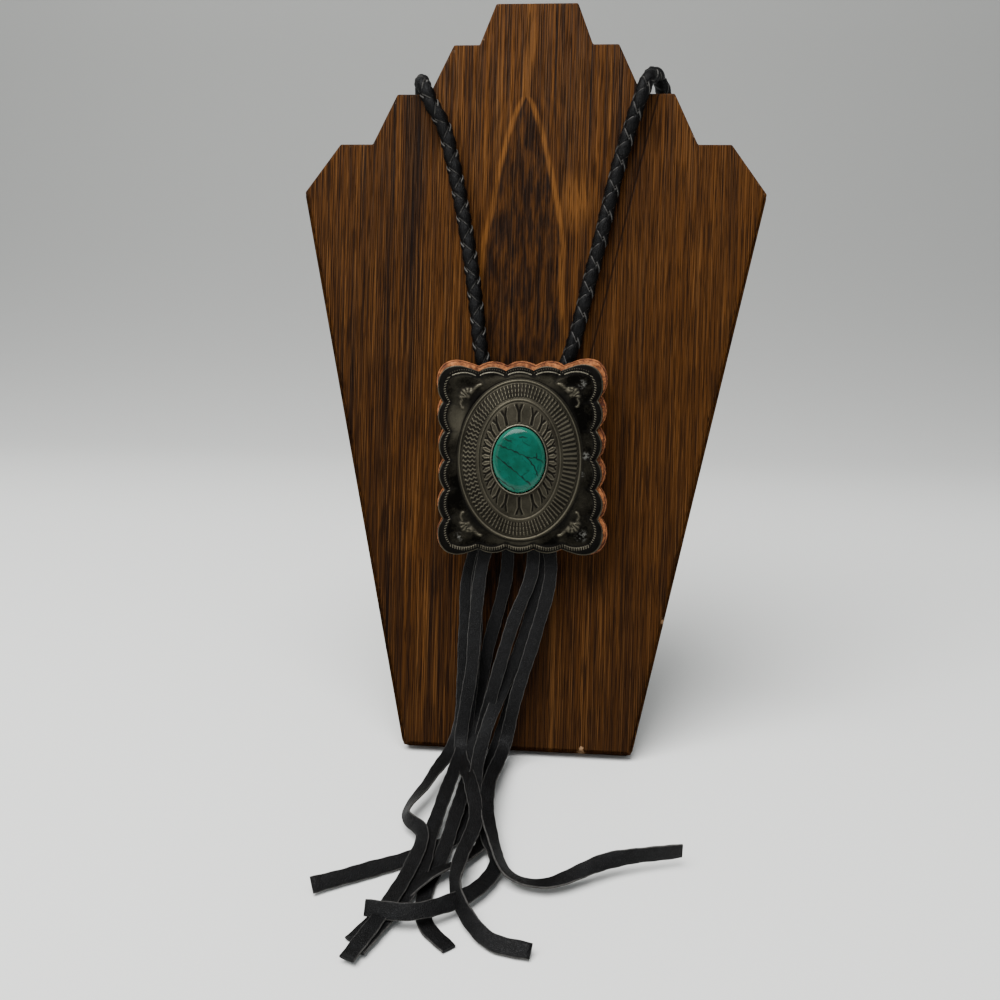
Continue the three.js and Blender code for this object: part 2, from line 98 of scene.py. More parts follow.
# Cord, keeper and laces
CORD_DIAMETER = 6.6 * MM
CORD_HALF_SPACING = 4.4 * MM
BORE_RADIUS = CORD_DIAMETER / 2 + GAP
KEEPER_WALL = 1.2 * MM
KEEPER_LENGTH = 12 * MM
KNOT_UP = 107.7 * MM
KNOT_LENGTH = 11 * MM
KNOT_RADIUS = 4.6 * MM
LACE_WIDTH = 6 * MM
FRINGE_REACH = 130 * MM

# Distances from the board's face
CORD_OUT = GAP + KEEPER_WALL + BORE_RADIUS
LEATHER_OUT = CORD_OUT + BORE_RADIUS + KEEPER_WALL + GAP
CONCHO_OUT = LEATHER_OUT + LEATHER_THICK + GAP
DOME_THICK = 5 * MM
STONE_OUT = CONCHO_OUT + DOME_THICK - STONE_SINK + GAP

# Half of the board's outline: share of half the shoulder width, share of the height
BOARD_OUTLINE = [
    (0.497, 0), (1, 0.748), (0.847, 0.813), (0.704, 0.813), (0.6, 0.88),
    (0.458, 0.88), (0.357, 0.9455), (0.245, 0.9455), (0.177, 1),
]

# Cusps of a quarter of the slide and the bulge of the scallop that starts there
# across, up: shares of half the slide; bulge: share of the scallop depth
SCALLOPS = [(0.925, 0, 1), (0.925, 0.308, 1), (0.945, 0.62, 0), (0.5, 0.938, 0.75), (0.168, 0.94, 0.75)]
CORNER_LOBE = [
    (0.945, 0.62), (1, 0.72), (0.995, 0.86), (0.93, 0.955),
    (0.835, 0.995), (0.73, 1), (0.62, 0.975), (0.5, 0.938),
]

# Route of the braided cord, in metres: across the board, up it, and out from its face
CORD_ROUTE = [
    (-.0054, .1135, .0051), (-.0054, .121, .0051), (-.0056, .129, .0051), (-.0088, .142, .0046),
    (-.0146, .154, .0041), (-.019, .167, .0038), (-.0214, .184, .0037), (-.0247, .206, .0037),
    (-.0292, .229, .0037), (-.0334, .247, .0039), (-.0374, .261, .0052), (-.0426, .27, .007),
    (-.0463, .278, .0053), (-.0486, .2822, -.005), (-.05, .2788, -.016), (-.0492, .268, -.0196),
    (-.0476, .248, -.0245), (-.0425, .228, -.0295), (-.0325, .211, -.0335), (-.017, .2, -.0365),
    (.003, .196, -.0375), (.023, .2, -.0365), (.039, .211, -.0335), (.0495, .228, -.0295),
    (.055, .248, -.0245), (.0568, .27, -.0196), (.055, .281, -.0156), (.0508, .2858, -.006),
    (.0466, .2806, .0042), (.0436, .2715, .007), (.0402, .261, .0052), (.0367, .249, .0039),
    (.0332, .234, .0037), (.0292, .215, .0037), (.0246, .195, .0037), (.0188, .17, .0038),
    (.0126, .154, .0041), (.0068, .142, .0046), (.0036, .129, .0051), (.0034, .121, .0051),
    (.0034, .1135, .0051),
]


class Part(Enum):
    """Nodes of the frame that the visual pieces stand for."""

    BOARD = "stand_board"
    LEG = "stand_leg"
    CORD = "neck_cord"
    FRINGE = "fringe"
    LEATHER = "leather_backing"
    CONCHO = "concho"
    STONE = "stone"
    KEEPER = "cord_keeper"


class Slot(Enum):
    """Material slots of the record."""

    WOOD = "stained_wood"
    BRAID = "black_braid"
    LACE = "black_lace"
    TAN = "tan_leather"
    METAL = "antique_metal"
    STONE = "green_stone"
    KEEPER = "keeper_metal"


# Shader values

class Wire:
    """One value of a shader, which Python operators combine into new values."""

    def __init__(self, nodes: "Nodes", socket: bpy.types.NodeSocket) -> None:
        """Keeps the socket and the tree it belongs to."""
        self.nodes = nodes
        self.socket = socket

    def __add__(self, other: "Wire | float") -> "Wire":
        """Sum of two values."""
        return self.nodes.maths("ADD", self, other)

    def __sub__(self, other: "Wire | float") -> "Wire":
        """Difference of two values."""
        return self.nodes.maths("SUBTRACT", self, other)

    def __mul__(self, other: "Wire | float") -> "Wire":
        """Product of two values."""
        return self.nodes.maths("MULTIPLY", self, other)

    def __truediv__(self, other: "Wire | float") -> "Wire":
        """Quotient of two values."""
        return self.nodes.maths("DIVIDE", self, other)

    def __pow__(self, other: "Wire | float") -> "Wire":
        """Power of a value."""
        return self.nodes.maths("POWER", self, other)

    def __rsub__(self, other: float) -> "Wire":
        """A number less this value."""
        return self.nodes.maths("SUBTRACT", other, self)

    def __rtruediv__(self, other: float) -> "Wire":
        """A number over this value."""
        return self.nodes.maths("DIVIDE", other, self)

    def __neg__(self) -> "Wire":
        """The value with its sign changed."""
        return self.nodes.maths("MULTIPLY", self, -1)

    __radd__ = __add__
    __rmul__ = __mul__

    def clamp(self) -> "Wire":
        """The value held between 0 and 1."""
        return self.nodes.maths("MINIMUM", self.nodes.maths("MAXIMUM", self, 0), 1)

    def step(self, low: float, high: float) -> "Wire":
        """A smooth step from 0 at low to 1 at high.

        Args:
            low: The value that gives 0.
            high: The value that gives 1.

        Returns:
            The stepped value.
        """
        settings = {"interpolation_type": "SMOOTHSTEP"}
        values = {"Value": self, "From Min": low, "From Max": high}
        return self.nodes.node("ShaderNodeMapRange", settings, values, "Result")


class Nodes:
    """Builds the node tree of one material."""

    def __init__(self, material: bpy.types.Material) -> None:
        """Empties the material's tree and keeps it."""
        material.use_nodes = True
        self.tree = material.node_tree
        self.tree.nodes.clear()

    def node(self, kind: str, settings: dict, values: dict, output: str | int) -> Wire:
        """Adds any node.

        Args:
            kind: The node's type name.
            settings: Properties of the node, set before its sockets.
            values: Socket names or numbers, each with a Wire or a plain value.
            output: The name or number of the output to return.

        Returns:
            The chosen output.
        """
        made = self.tree.nodes.new(kind)
        for name, value in settings.items():
            setattr(made, name, value)
        for name, value in values.items():
            if isinstance(value, Wire):
                self.tree.links.new(value.socket, made.inputs[name])
            else:
                made.inputs[name].default_value = value
        return Wire(self, made.outputs[output])

    def maths(self, operation: str, a: Wire | float, b: Wire | float) -> Wire:
        """One Math node on two values."""
        return self.node("ShaderNodeMath", {"operation": operation}, {0: a, 1: b}, 0)

    def root(self, value: Wire) -> Wire:
        """Square root of a value."""
        return self.maths("POWER", value, 0.5)

    def sine(self, value: Wire) -> Wire:
        """Sine of a value."""
        return self.maths("SINE", value, 0)

    def size(self, value: Wire) -> Wire:
        """A value without its sign."""
        return self.maths("ABSOLUTE", value, 0)

    def reach(self, right: Wire, up: Wire) -> Wire:
        """Length of a step right and a step up."""
        return self.root(right * right + up * up)

    def place(self) -> Wire:
        """The point in the piece's own axes."""
        return self.node("ShaderNodeTexCoord", {}, {}, "Object")

    def axes(self, vector: Wire) -> tuple[Wire, Wire, Wire]:
        """The three numbers of a vector.

        Args:
            vector: The vector.

        Returns:
            Its x, y and z.
        """
        first = self.node("ShaderNodeSeparateXYZ", {}, {"Vector": vector}, "X")
        made = first.socket.node
        return first, Wire(self, made.outputs["Y"]), Wire(self, made.outputs["Z"])

    def vector(self, x: Wire | float, y: Wire | float, z: Wire | float) -> Wire:
        """A vector of three numbers."""
        return self.node("ShaderNodeCombineXYZ", {}, {"X": x, "Y": y, "Z": z}, "Vector")

    def noise(self, at: Wire, scale: float, detail: float = 3, roughness: float = 0.55) -> Wire:
        """Noise between 0 and 1.

        Args:
            at: The place it is read at.
            scale: Waves to a unit.
            detail: Octaves.
            roughness: Strength of the finer octaves.

        Returns:
            The noise value.
        """
        values = {"Vector": at, "Scale": scale, "Detail": detail, "Roughness": roughness}
        return self.node("ShaderNodeTexNoise", {"noise_dimensions": "3D"}, values, 0)

    def grain(self, axes: tuple, across: float, along: float, detail: float, roughness: float) -> Wire:
        """Noise drawn out along the y axis.

        Args:
            axes: The three numbers of the place it is read at.
            across: Waves to a metre across the grain.
            along: Waves to a metre along it.
            detail: Octaves.
            roughness: Strength of the finer octaves.

        Returns:
            The noise value.
        """
        x, y, z = axes
        return self.noise(self.vector(x * across, y * along, z * across), 1, detail, roughness)

    def cells(self, at: Wire, scale: float) -> Wire:
        """Distance from the edges of a pattern of cells."""
        settings = {"feature": "DISTANCE_TO_EDGE"}
        return self.node("ShaderNodeTexVoronoi", settings, {"Vector": at, "Scale": scale}, "Distance")

    def mark(self, name: str) -> Wire:
        """A value that the mesh carries."""
        settings = {"attribute_name": name, "attribute_type": "GEOMETRY"}
        return self.node("ShaderNodeAttribute", settings, {}, "Fac")

    def mix(self, share: Wire | float, a: Wire | tuple, b: Wire | tuple) -> Wire:
        """Mix of two colours.

        Args:
            share: 0 for the first colour, 1 for the second.
            a: The first colour.
            b: The second colour.

        Returns:
            The mixed colour.
        """
        first, second = [c if isinstance(c, Wire) else (*c, 1.0) for c in (a, b)]
        return self.node("ShaderNodeMix", {"data_type": "RGBA"}, {0: share, 6: first, 7: second}, 2)

    def bump(self, height: Wire, depth: float) -> Wire:
        """Normal of a bumpy surface.

        Args:
            height: Height between 0 and 1.
            depth: Metres that a height of 1 stands for.

        Returns:
            The bumped normal.
        """
        return self.node("ShaderNodeBump", {}, {"Height": height, "Distance": depth, "Strength": 1}, "Normal")

    def surface(self, **values: Wire | float | tuple) -> None:
        """Ends the tree in a Principled shader.

        Args:
            values: The shader's sockets by name, with _ for a space.
        """
        named = {name.replace("_", " "): value for name, value in values.items()}
        shader = self.node("ShaderNodeBsdfPrincipled", {}, named, "BSDF")
        output = self.tree.nodes.new("ShaderNodeOutputMaterial")
        self.tree.links.new(shader.socket, output.inputs["Surface"])


# Finishes

@dataclass(frozen=True)
class Finish:
    """A material that is made once and shared by the pieces that take it."""

    name: str

    def material(self) -> bpy.types.Material:
        """Makes the material at its first use.

        Returns:
            The material.
        """
        found = bpy.data.materials.get(self.name)
        if found is None:
            found = bpy.data.materials.new(self.name)
            self.shade(Nodes(found))
        return found

    def shade(self, nodes: Nodes) -> None:
        """Builds the material's nodes."""
        raise NotImplementedError


@dataclass(frozen=True)
class StainedWood(Finish):
    """Dark stained plank with cathedral grain, open pores and a glued joint."""

    dark: tuple = (0.0045, 0.0014, 0.0004)
    warm: tuple = (0.120, 0.0410, 0.0044)
    light: tuple = (0.220, 0.094, 0.024)
    pale: tuple = (0.260, 0.155, 0.080)

    # Chips of the front edges: across, up and radius
    chips = ((0.0275, 0.0004, 0.0016), (0.0640, 0.0625, 0.0012), (0.0595, 0.0570, 0.0008))

    # The glued joint at one height, across and up, and how far it moves across as it rises
    joint_at = (0.048, 0.261)
    joint_slope = 0.23

    # The flame's tip, its length and half its width; the knot, across and up; the dark streak
    flame_tip = 0.275
    flame_long = 0.062
    flame_half = 0.0165
    knot = (0.018, 0.232)
    dark_streak = -0.049

    def shade(self, nodes: Nodes) -> None:
        """Builds the plank's nodes.

        Args:
            nodes: The material's node builder.
        """
        at = nodes.place()
        x, y, z = axes = nodes.axes(at)
        joint = self.joint_at[0] - (self.joint_at[1] - y) * self.joint_slope
        second = (x - joint).step(-0.0004, 0.0004)
        drift = nodes.grain(axes, 26, 14, 3, 0.55) - 0.5
        from_heart = nodes.size(x + 0.003 + drift * 0.007)
        arch = ((self.flame_tip - y) / self.flame_long).clamp() ** 0.72 * self.flame_half
        outside = from_heart - arch + z * 0.3
        flame = 1 - outside.step(-0.0006, 0.0006)
        fleck = nodes.grain(axes, 420, 75, 3, 0.6).step(0.38, 0.66)
        rings = nodes.sine(outside * 1250 + drift * 9) * 0.5 + 0.5
        near = 1 - outside.step(0.004, 0.030)
        outline = 1 - nodes.size(outside - 0.0007).step(0.0004, 0.0017)
        fibre = nodes.grain(axes, 1850, 9, 4, 0.7).step(0.40, 0.60)
        streak = nodes.grain(axes, 330, 5, 4, 0.7).step(0.38, 0.62)
        broad = nodes.grain(axes, 55, 2, 3, 0.5).step(0.36, 0.62)
        pores = nodes.grain(axes, 2300, 48, 2, 0.5).step(0.52, 0.62)
        lines = nodes.grain(axes, 2100, 13, 2, 0.6).step(0.53, 0.64)
        plain = streak * 0.22 + fibre * 0.42 + broad * 0.17 + near * rings * 0.14 - 0.13
        figured = fleck * 0.34 + streak * 0.08 + fibre * 0.20 - 0.10
        even = 0.08 + fibre * 0.32 + streak * 0.18 + broad * 0.06
        gold = 1 - nodes.reach(x - self.knot[0], (y - self.knot[1]) * 0.6).step(0.002, 0.010)
        tone = plain * (1 - flame) + figured * flame + outline * 0.30 + gold * 0.30
        beside = nodes.size(x - self.dark_streak + drift * 0.012)
        band = (1 - beside.step(0.001, 0.006)) * y.step(0.10, 0.17)
        tone = (tone * (1 - second) + even * second - band * 0.16) * (y * 1.8 + 0.54)
        paint = nodes.mix(tone.clamp(), self.dark, self.warm)
        lit = lines * (0.20 + broad * 0.12) * (1 - flame * 0.4) + outline * 0.18 + gold * 0.16
        paint = nodes.mix(lit.clamp(), paint, self.light)
        paint = nodes.mix(pores * 0.70, paint, self.dark)
        seam = 1 - nodes.size(x - joint).step(0.0001, 0.0006)
        paint = nodes.mix(seam * 0.8, paint, self.dark)
        rag = nodes.noise(at, 420, 4, 0.65)
        wear = nodes.mark("edge") * rag.step(0.62, 0.72) * 0.5
        front = z.step(-0.0045, -0.0020)
        for across, up, radius in self.chips:
            away = nodes.reach(x - across, (y - up) * 0.6) + (rag - 0.5) * 0.004
            wear = wear + (1 - away.step(radius * 0.6, radius)) * front
        paint = nodes.mix(wear.clamp(), paint, self.pale)
        relief = fibre * 0.35 - pores * 0.8 - seam * 0.9 + streak * 0.2
        nodes.surface(
            Base_Color=paint,
            Roughness=0.48 + fibre * 0.10 + pores * 0.2,
            Normal=nodes.bump(relief, 0.00014),
            Specular_IOR_Level=0.07,
        )


@dataclass(frozen=True)
class BlackLeather(Finish):
    """Black dyed leather cut in strips, grained on top, with a pale highlight painted along the edges of the
    strips.
    """

    dye: tuple = (0.0012, 0.0011, 0.0012)
    worn: tuple = (0.0090, 0.0098, 0.0105)
    # cut: colour of the pale highlight painted along the strip edges
    cut: tuple = (0.090, 0.086, 0.080)
    rough: float = 0.44
    # rim and pale: where the painted edge highlight starts across the strip, and how strong it is
    rim: float = 0.86
    pale: float = 0.75
    shine: float = 0.16

    def shade(self, nodes: Nodes) -> None:
        """Builds the strip's nodes.

        Args:
            nodes: The material's node builder.
        """
        at = nodes.place()
        across = nodes.mark("across")
        flesh = nodes.mark("flesh")
        grain = nodes.cells(at, 1500).step(0.02, 0.30)
        scuff = nodes.noise(at, 260, 5, 0.62)
        fibre = nodes.noise(at, 3200, 3, 0.7)
        # Painted highlight: a pale line along both edges of each strip, broken up by noise
        edge = nodes.size(across).step(self.rim, self.rim + 0.12)
        broken = nodes.noise(at, 700, 3, 0.6).step(0.32, 0.62)
        paint = nodes.mix((scuff.step(0.5, 0.78) * 0.5 + flesh * 0.35).clamp(), self.dye, self.worn)
        paint = nodes.mix((edge * (0.45 + broken * 0.55) * self.pale).clamp(), paint, self.cut)
        relief = grain * (1 - flesh) * 0.6 + fibre * (0.25 + flesh * 1.1) - edge * 0.2
        rough = self.rough + scuff * 0.16 + flesh * 0.3 + edge * 0.16 - grain * 0.05
        nodes.surface(
            Base_Color=paint,
            Roughness=rough.clamp(),
            Normal=nodes.bump(relief, 0.00018),
            Specular_IOR_Level=self.shine,
        )


@dataclass(frozen=True)
class RawLeather(Finish):
    """Tan sole leather whose cut edge shows its layers."""

    light: tuple = (0.620, 0.225, 0.076)
    deep: tuple = (0.045, 0.010, 0.003)

    def shade(self, nodes: Nodes) -> None:
        """Builds the leather's nodes.

        Args:
            nodes: The material's node builder.
        """
        at = nodes.place()
        x, y, z = nodes.axes(at)
        wander = nodes.noise(at, 160, 3) * 0.0008
        layers = nodes.sine((z + wander) * 8600) * 0.5 + 0.5
        fibre = nodes.noise(nodes.vector(x * 500, y * 500, z * 2600), 1, 4, 0.7).step(0.3, 0.7)
        blotch = nodes.noise(at, 120, 4, 0.6).step(0.35, 0.7)
        face = z.step(0.00305, 0.00319)
        parting = z.step(0.00296, 0.00306) * (1 - z.step(0.00314, 0.00319))
        tone = layers * 0.45 + fibre * 0.5 + blotch * 0.3 - 0.28 + face * 0.12
        paint = nodes.mix(tone.clamp(), self.deep, self.light)
        paint = nodes.mix(parting * 0.75, paint, self.deep)
        nodes.surface(
            Base_Color=paint,
            Roughness=(0.66 + fibre * 0.25).clamp(),
            Normal=nodes.bump(fibre + layers * 0.7, 0.0003),
            Specular_IOR_Level=0.2,
        )


@dataclass(frozen=True)
class PatinaMetal(Finish):
    """White metal, blackened in the hollows and rubbed back on what stands up, with a painted reflection on
    its flat ground.
    """

    black: tuple = (0.0026, 0.0023, 0.0018)
    grey: tuple = (0.100, 0.090, 0.064)
    bright: tuple = (0.340, 0.310, 0.240)
    chalk: tuple = (0.120, 0.118, 0.105)

    # Stamps round the dome's band, and the band's edges as places on the dome: 0 its rim, 1 its inner ring
    bars = 96
    band_low = 0.19
    band_high = 0.82

    # In millimetres: how far across and up the frame's stamps go, and the scuffs: across, up and radius
    frame_end = (28.7, 34.2)
    scuffs = ((-25, -31.3, 2.4), (25, -30.8, 3.2), (25.4, 30.4, 2.4), (26.8, 1.6, 2.2), (25.4, -5.8, 1.5))

    def frame(self, nodes: Nodes, x: Wire, y: Wire) -> tuple[Wire, Wire]:
        """The stamped frame: rope at the sides, arcs and dots above, teeth below.

        Args:
            nodes: The material's node builder.
            x: Place across the plate in millimetres.
            y: Place up it.

        Returns:
            How far the stamps stand up, and how dark the groove round them is.
        """
        side, level = nodes.mark("side"), nodes.mark("level")
        low = 1 - y.step(-1, 1)
        upright = 1 - (nodes.size(y) - self.frame_end[1]).step(-0.4, 0.2)
        across = 1 - (nodes.size(x) - self.frame_end[0]).step(-0.4, 0.2)
        beads = nodes.sine(y * 6.4 + nodes.size(x) * 2.6) * 0.5 + 0.5
        rope = beads.step(0.25, 0.75) * (1 - nodes.size(side).step(0.35, 0.6)) * upright
        comb = (nodes.sine(x * 6.6) * 0.5 + 0.5).step(0.3, 0.7)
        teeth = comb * (1 - nodes.size(level - 0.7).step(0.45, 0.7)) * low
        dots = comb * (1 - nodes.size(level - 1.2).step(0.15, 0.4)) * (1 - low) * 0.4
        parted = 1 - nodes.sine(x * 0.55 - 1.617).step(0.86, 0.96)
        arc = (1 - nodes.size(level).step(0.12, 0.36)) * (1 - low * 0.55) * parted
        stamps = (rope * 0.58 + (teeth * 0.52 + dots + arc * 0.85) * across).clamp()
        groove = (1 - nodes.size(side).step(0.7, 1.3)) * upright
        trough = (1 - nodes.size(level - 0.4).step(1.0, 1.8)) * across
        return stamps, (groove + trough).clamp() * (1 - stamps)

    def band(self, nodes: Nodes, x: Wire, y: Wire) -> tuple[Wire, Wire]:
        """The dome's stamped band: zigzags at the left, bars at the right, dashes above and below.

        Args:
            nodes: The material's node builder.
            x: Place across the plate in millimetres.
            y: Place up it.

        Returns:
            How far the stamps stand up, and how dark the cuts between them are.
        """
        at = nodes.mark("oval")
        wide, high = [rim - at * (rim - ring) for rim, ring in zip(DOME_RIM, INNER_RING)]
        cosine = x / wide
        angle = nodes.maths("ARCTAN2", y / high, cosine)
        across = (at - self.band_low) / (self.band_high - self.band_low)
        side = (cosine * cosine).clamp()
        left = side * (1 - cosine.step(-0.1, 0.1))
        right = side - left
        bend = nodes.sine(across * 6 * math.pi) * left * 1.1
        wave = nodes.sine(angle * self.bars + bend)
        low, high = [at.step(edge - 0.02, edge + 0.02) for edge in (self.band_low, self.band_high)]
        within = low * (1 - high)
        beat = nodes.size(nodes.sine(across * 3 * math.pi)).step(0.15, 0.75)
        whole = 1 - (1 - side) * 0.9 * (1 - beat)
        bar = (wave * 1.8 - 0.5 + right * 0.3).clamp() * within * whole
        cut = (0.25 - wave * 1.5).clamp() * within * (side * 0.35 + 0.55)
        return bar, cut

    def shade(self, nodes: Nodes) -> None:
        """Builds the casting's nodes.

        Args:
            nodes: The material's node builder.
        """
        at = nodes.place()
        wear_and_reflection = nodes.mark("wear_and_reflection")
        hollow = nodes.mark("hollow")
        x, y = [axis / MM for axis in nodes.axes(at)[:2]]
        stamps, groove = self.frame(nodes, x, y)
        bar, cut = self.band(nodes, x, y)
        cloud = nodes.noise(at, 110, 4, 0.6)
        speck = nodes.noise(at, 1500, 3, 0.7)
        pits = nodes.noise(at, 620, 2, 0.5).step(0.64, 0.72)
        # Lightness: rubbed high spots and stamps, and the painted reflection that the plate's mark carries on
        # its ground
        lightness = wear_and_reflection + stamps * 0.8 + bar * 0.27
        polish_and_reflection = (lightness * 2.4 + (cloud - 0.5) * 0.8 + (speck - 0.5) * 0.25).clamp()
        rubbed = ((lightness - 0.42) * 1.9 + (speck - 0.5) * 0.4).clamp()
        soot = hollow * 1.1 + groove * 0.9 + cut * 0.8 + (cloud - 0.5) * 0.5 + pits * 0.3
        soot = soot.clamp() * (1 - stamps)
        paint = nodes.mix(polish_and_reflection, self.black, self.grey)
        paint = nodes.mix(rubbed, paint, self.bright)
        paint = nodes.mix(soot * 0.92, paint, self.black)
        rag = nodes.noise(at, 700, 4, 0.7)
        spots = [
            1 - nodes.reach(x - across, y - up).step(radius * 0.3, radius)
            for across, up, radius in self.scuffs
        ]
        chalky = (sum(spots) * rag.step(0.46, 0.62) * 0.8).clamp()
        paint = nodes.mix(chalky, paint, self.chalk)
        relief = speck * 0.1 - pits * 0.12 + cloud * 0.06 + stamps + bar * 0.8 - cut * 0.4 + chalky * 0.1
        nodes.surface(
            Base_Color=paint,
            Metallic=(0.95 - soot * 0.4 - chalky * 0.6).clamp(),
            Roughness=(0.42 - rubbed * 0.14 + soot * 0.25 + speck * 0.1 + chalky * 0.2).clamp(),
            Normal=nodes.bump(relief, 0.0004),
            Specular_IOR_Level=0.10,
        )


@dataclass(frozen=True)
class GreenStone(Finish):
    """Polished green turquoise crossed by a dark matrix."""

    green: tuple = (0.000, 0.052, 0.032)
    blue: tuple = (0.000, 0.076, 0.052)
    deep: tuple = (0.000, 0.036, 0.021)
    # Painted light: the lighter teal of the rim, standing in for the stone's edge highlight and the light
    # through its thin edge
    rim_light: tuple = (0.020, 0.150, 0.100)
    matrix: tuple = (0.000, 0.008, 0.005)

    def shade(self, nodes: Nodes) -> None:
        """Builds the stone's nodes.

        Args:
            nodes: The material's node builder.
        """
        at = nodes.place()
        vein = nodes.mark("vein")
        cloud = nodes.noise(at, 130, 4, 0.6)
        mottle = nodes.noise(at, 420, 4, 0.65)
        paint = nodes.mix(cloud.step(0.35, 0.65), self.green, self.blue)
        paint = nodes.mix(mottle.step(0.52, 0.72) * 0.6, paint, self.deep)
        web = 1 - nodes.cells(at, 190).step(0.0, 0.035)
        faint = web * nodes.noise(at, 210, 2).step(0.5, 0.62) * 0.55
        dark = (vein * (1.1 + mottle) + faint).clamp()
        # Painted highlight: a lighter band round the rim
        paint = nodes.mix(nodes.mark("rim").step(0.84, 0.97) * 0.5, paint, self.rim_light)
        paint = nodes.mix(dark, paint, self.matrix)
        nodes.surface(
            Base_Color=paint,
            Roughness=(0.10 + dark * 0.2 + mottle * 0.05).clamp(),
            Normal=nodes.bump(cloud * 0.3 - dark * 0.3, 0.00006),
            Specular_IOR_Level=0.22,
        )


@dataclass(frozen=True)
class DullPlate(Finish):
    """Dull plated metal of the keeper."""

    grey: tuple = (0.330, 0.320, 0.300)
    stain: tuple = (0.090, 0.080, 0.070)

    def shade(self, nodes: Nodes) -> None:
        """Builds the plated metal's nodes.

        Args:
            nodes: The material's node builder.
        """
        at = nodes.place()
        cloud = nodes.noise(at, 240, 4, 0.6)
        paint = nodes.mix(cloud.step(0.45, 0.7), self.grey, self.stain)
        nodes.surface(
            Base_Color=paint,
            Metallic=0.95,
            Roughness=(0.3 + cloud * 0.25).clamp(),
            Normal=nodes.bump(nodes.noise(at, 2200, 2), 0.00004),
        )


@dataclass(frozen=True)
class PalePaper(Finish):
    """The pale matt sweep under and behind the stand."""

    tint: tuple = (0.90, 0.905, 0.875)
    # Painted shade: the grey the paper fades to behind the stand
    far: tuple = (0.335, 0.337, 0.325)

    def shade(self, nodes: Nodes) -> None:
        """Builds the paper's nodes, with painted shade: it is painted greyer with the distance behind the
        stand.

        Args:
            nodes: The material's node builder.
        """
        at = nodes.place()
        away = nodes.axes(at)[1]
        nodes.surface(
            # Painted shade: greyer from 0.3 m to 1.05 m behind the stand
            Base_Color=nodes.mix(away.step(0.30, 1.05), self.tint, self.far),
            Roughness=0.8,
            Normal=nodes.bump(nodes.noise(at, 900, 2), 0.00002),
        )


# Shapes

@dataclass(frozen=True)
class BoardFrame:
    """Axes of the leaning board: across it, up it and out of its face."""

    origin: Vector

    @classmethod
    def from_frame(cls) -> "BoardFrame":
        """Places the axes by the frame's board.

        Returns:
            The board's axes.
        """
        low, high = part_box(Part.BOARD.value)
        return cls(Vector(((low.x + high.x) / 2, low.y, low.z + BOARD_THICK * math.sin(LEAN))))

    def matrix(self) -> Matrix:
        """From the board's axes to the row frame."""
        turn = Matrix.Rotation(math.pi / 2 - LEAN, 4, "X")
        return Matrix.Translation(self.origin) @ turn

    def points(self, places: np.ndarray) -> np.ndarray:
        """Places on the board, in the row frame."""
        matrix = np.array(self.matrix())
        return np.asarray(places, float) @ matrix[:3, :3].T + matrix[:3, 3]

    def slide(self) -> Matrix:
        """From the slide's own axes to the row frame."""
        turn = Matrix.Rotation(SLIDE_TURN, 4, "Z")
        return self.matrix() @ Matrix.Translation((SLIDE_ACROSS, SLIDE_UP, 0)) @ turn


@dataclass
class SmoothPath:
    """A smooth curve through points, read in even steps."""

    points: np.ndarray
    steps: int = 24
    fine: np.ndarray = field(init=False)
    lengths: np.ndarray = field(init=False)

    def __post_init__(self) -> None:
        """Works out the curve: centripetal, with its end tangents mirrored."""
        given = np.asarray(self.points, float)
        row = np.vstack([2 * given[0] - given[1], given, 2 * given[-1] - given[-2]])
        gaps = np.maximum(np.linalg.norm(np.diff(row, axis=0), axis=1) ** 0.5, 1e-9)
        share = np.linspace(0, 1, self.steps, endpoint=False)[:, None]
        spans = []
        for k in range(1, len(row) - 2):
            before, here, there, after = row[k - 1:k + 3]
            first, middle, last = gaps[k - 1:k + 2]
            leave = (here - before) / first - (there - before) / (first + middle) + (there - here) / middle
            arrive = (there - here) / middle - (after - here) / (middle + last) + (after - there) / last
            spans.append(
                here * (2 * share**3 - 3 * share**2 + 1)
                + leave * middle * (share**3 - 2 * share**2 + share)
                + there * (3 * share**2 - 2 * share**3)
                + arrive * middle * (share**3 - share**2)
            )
        self.fine = np.vstack([*spans, given[-1:]])
        chords = np.linalg.norm(np.diff(self.fine, axis=0), axis=1)
        self.lengths = np.concatenate([[0], np.cumsum(chords)])

    @property
    def length(self) -> float:
        """Length of the curve."""
        return float(self.lengths[-1])

    def even(self, count: int) -> np.ndarray:
        """Points at even steps along the curve."""
        at = np.linspace(0, self.length, count)
        return np.stack([np.interp(at, self.lengths, column) for column in self.fine.T], axis=1)

    def follow(self, values: list[float], count: int) -> np.ndarray:
        """Values given at the points, carried to even steps.

        Args:
            values: One value for each point.
            count: Number of steps.

        Returns:
            The values at the steps, eased from point to point.
        """
        at = np.linspace(0, self.length, count)
        plain = np.interp(at, self.lengths[::self.steps], values)
        reach = max(count // 24, 1)
        padded = np.pad(plain, reach, mode="edge")
        return np.convolve(padded, np.ones(2 * reach + 1) / (2 * reach + 1), "valid")


def unit(vectors: np.ndarray) -> np.ndarray:
    """Vectors of length 1."""
    return vectors / np.maximum(np.linalg.norm(vectors, axis=-1, keepdims=True), 1e-12)


def carried_axes(line: np.ndarray, first: np.ndarray) -> tuple[np.ndarray, np.ndarray, np.ndarray]:
    """Axes carried along a line without twist.

    Args:
        line: Points in even steps.
        first: Direction of the side axis at the start.

    Returns:
        The tangents, the side axes and the third axes.
    """
    along = unit(np.gradient(line, axis=0))
    side = np.empty_like(line)
    last = first
    for i, tangent in enumerate(along):
        last = last - tangent * np.dot(last, tangent)
        last = last / np.linalg.norm(last)
        side[i] = last
    return along, side, np.cross(along, side)


def round_angles(count: int) -> np.ndarray:
    """Angles in even steps round a circle."""
    return np.linspace(0, 2 * math.pi, count, endpoint=False)


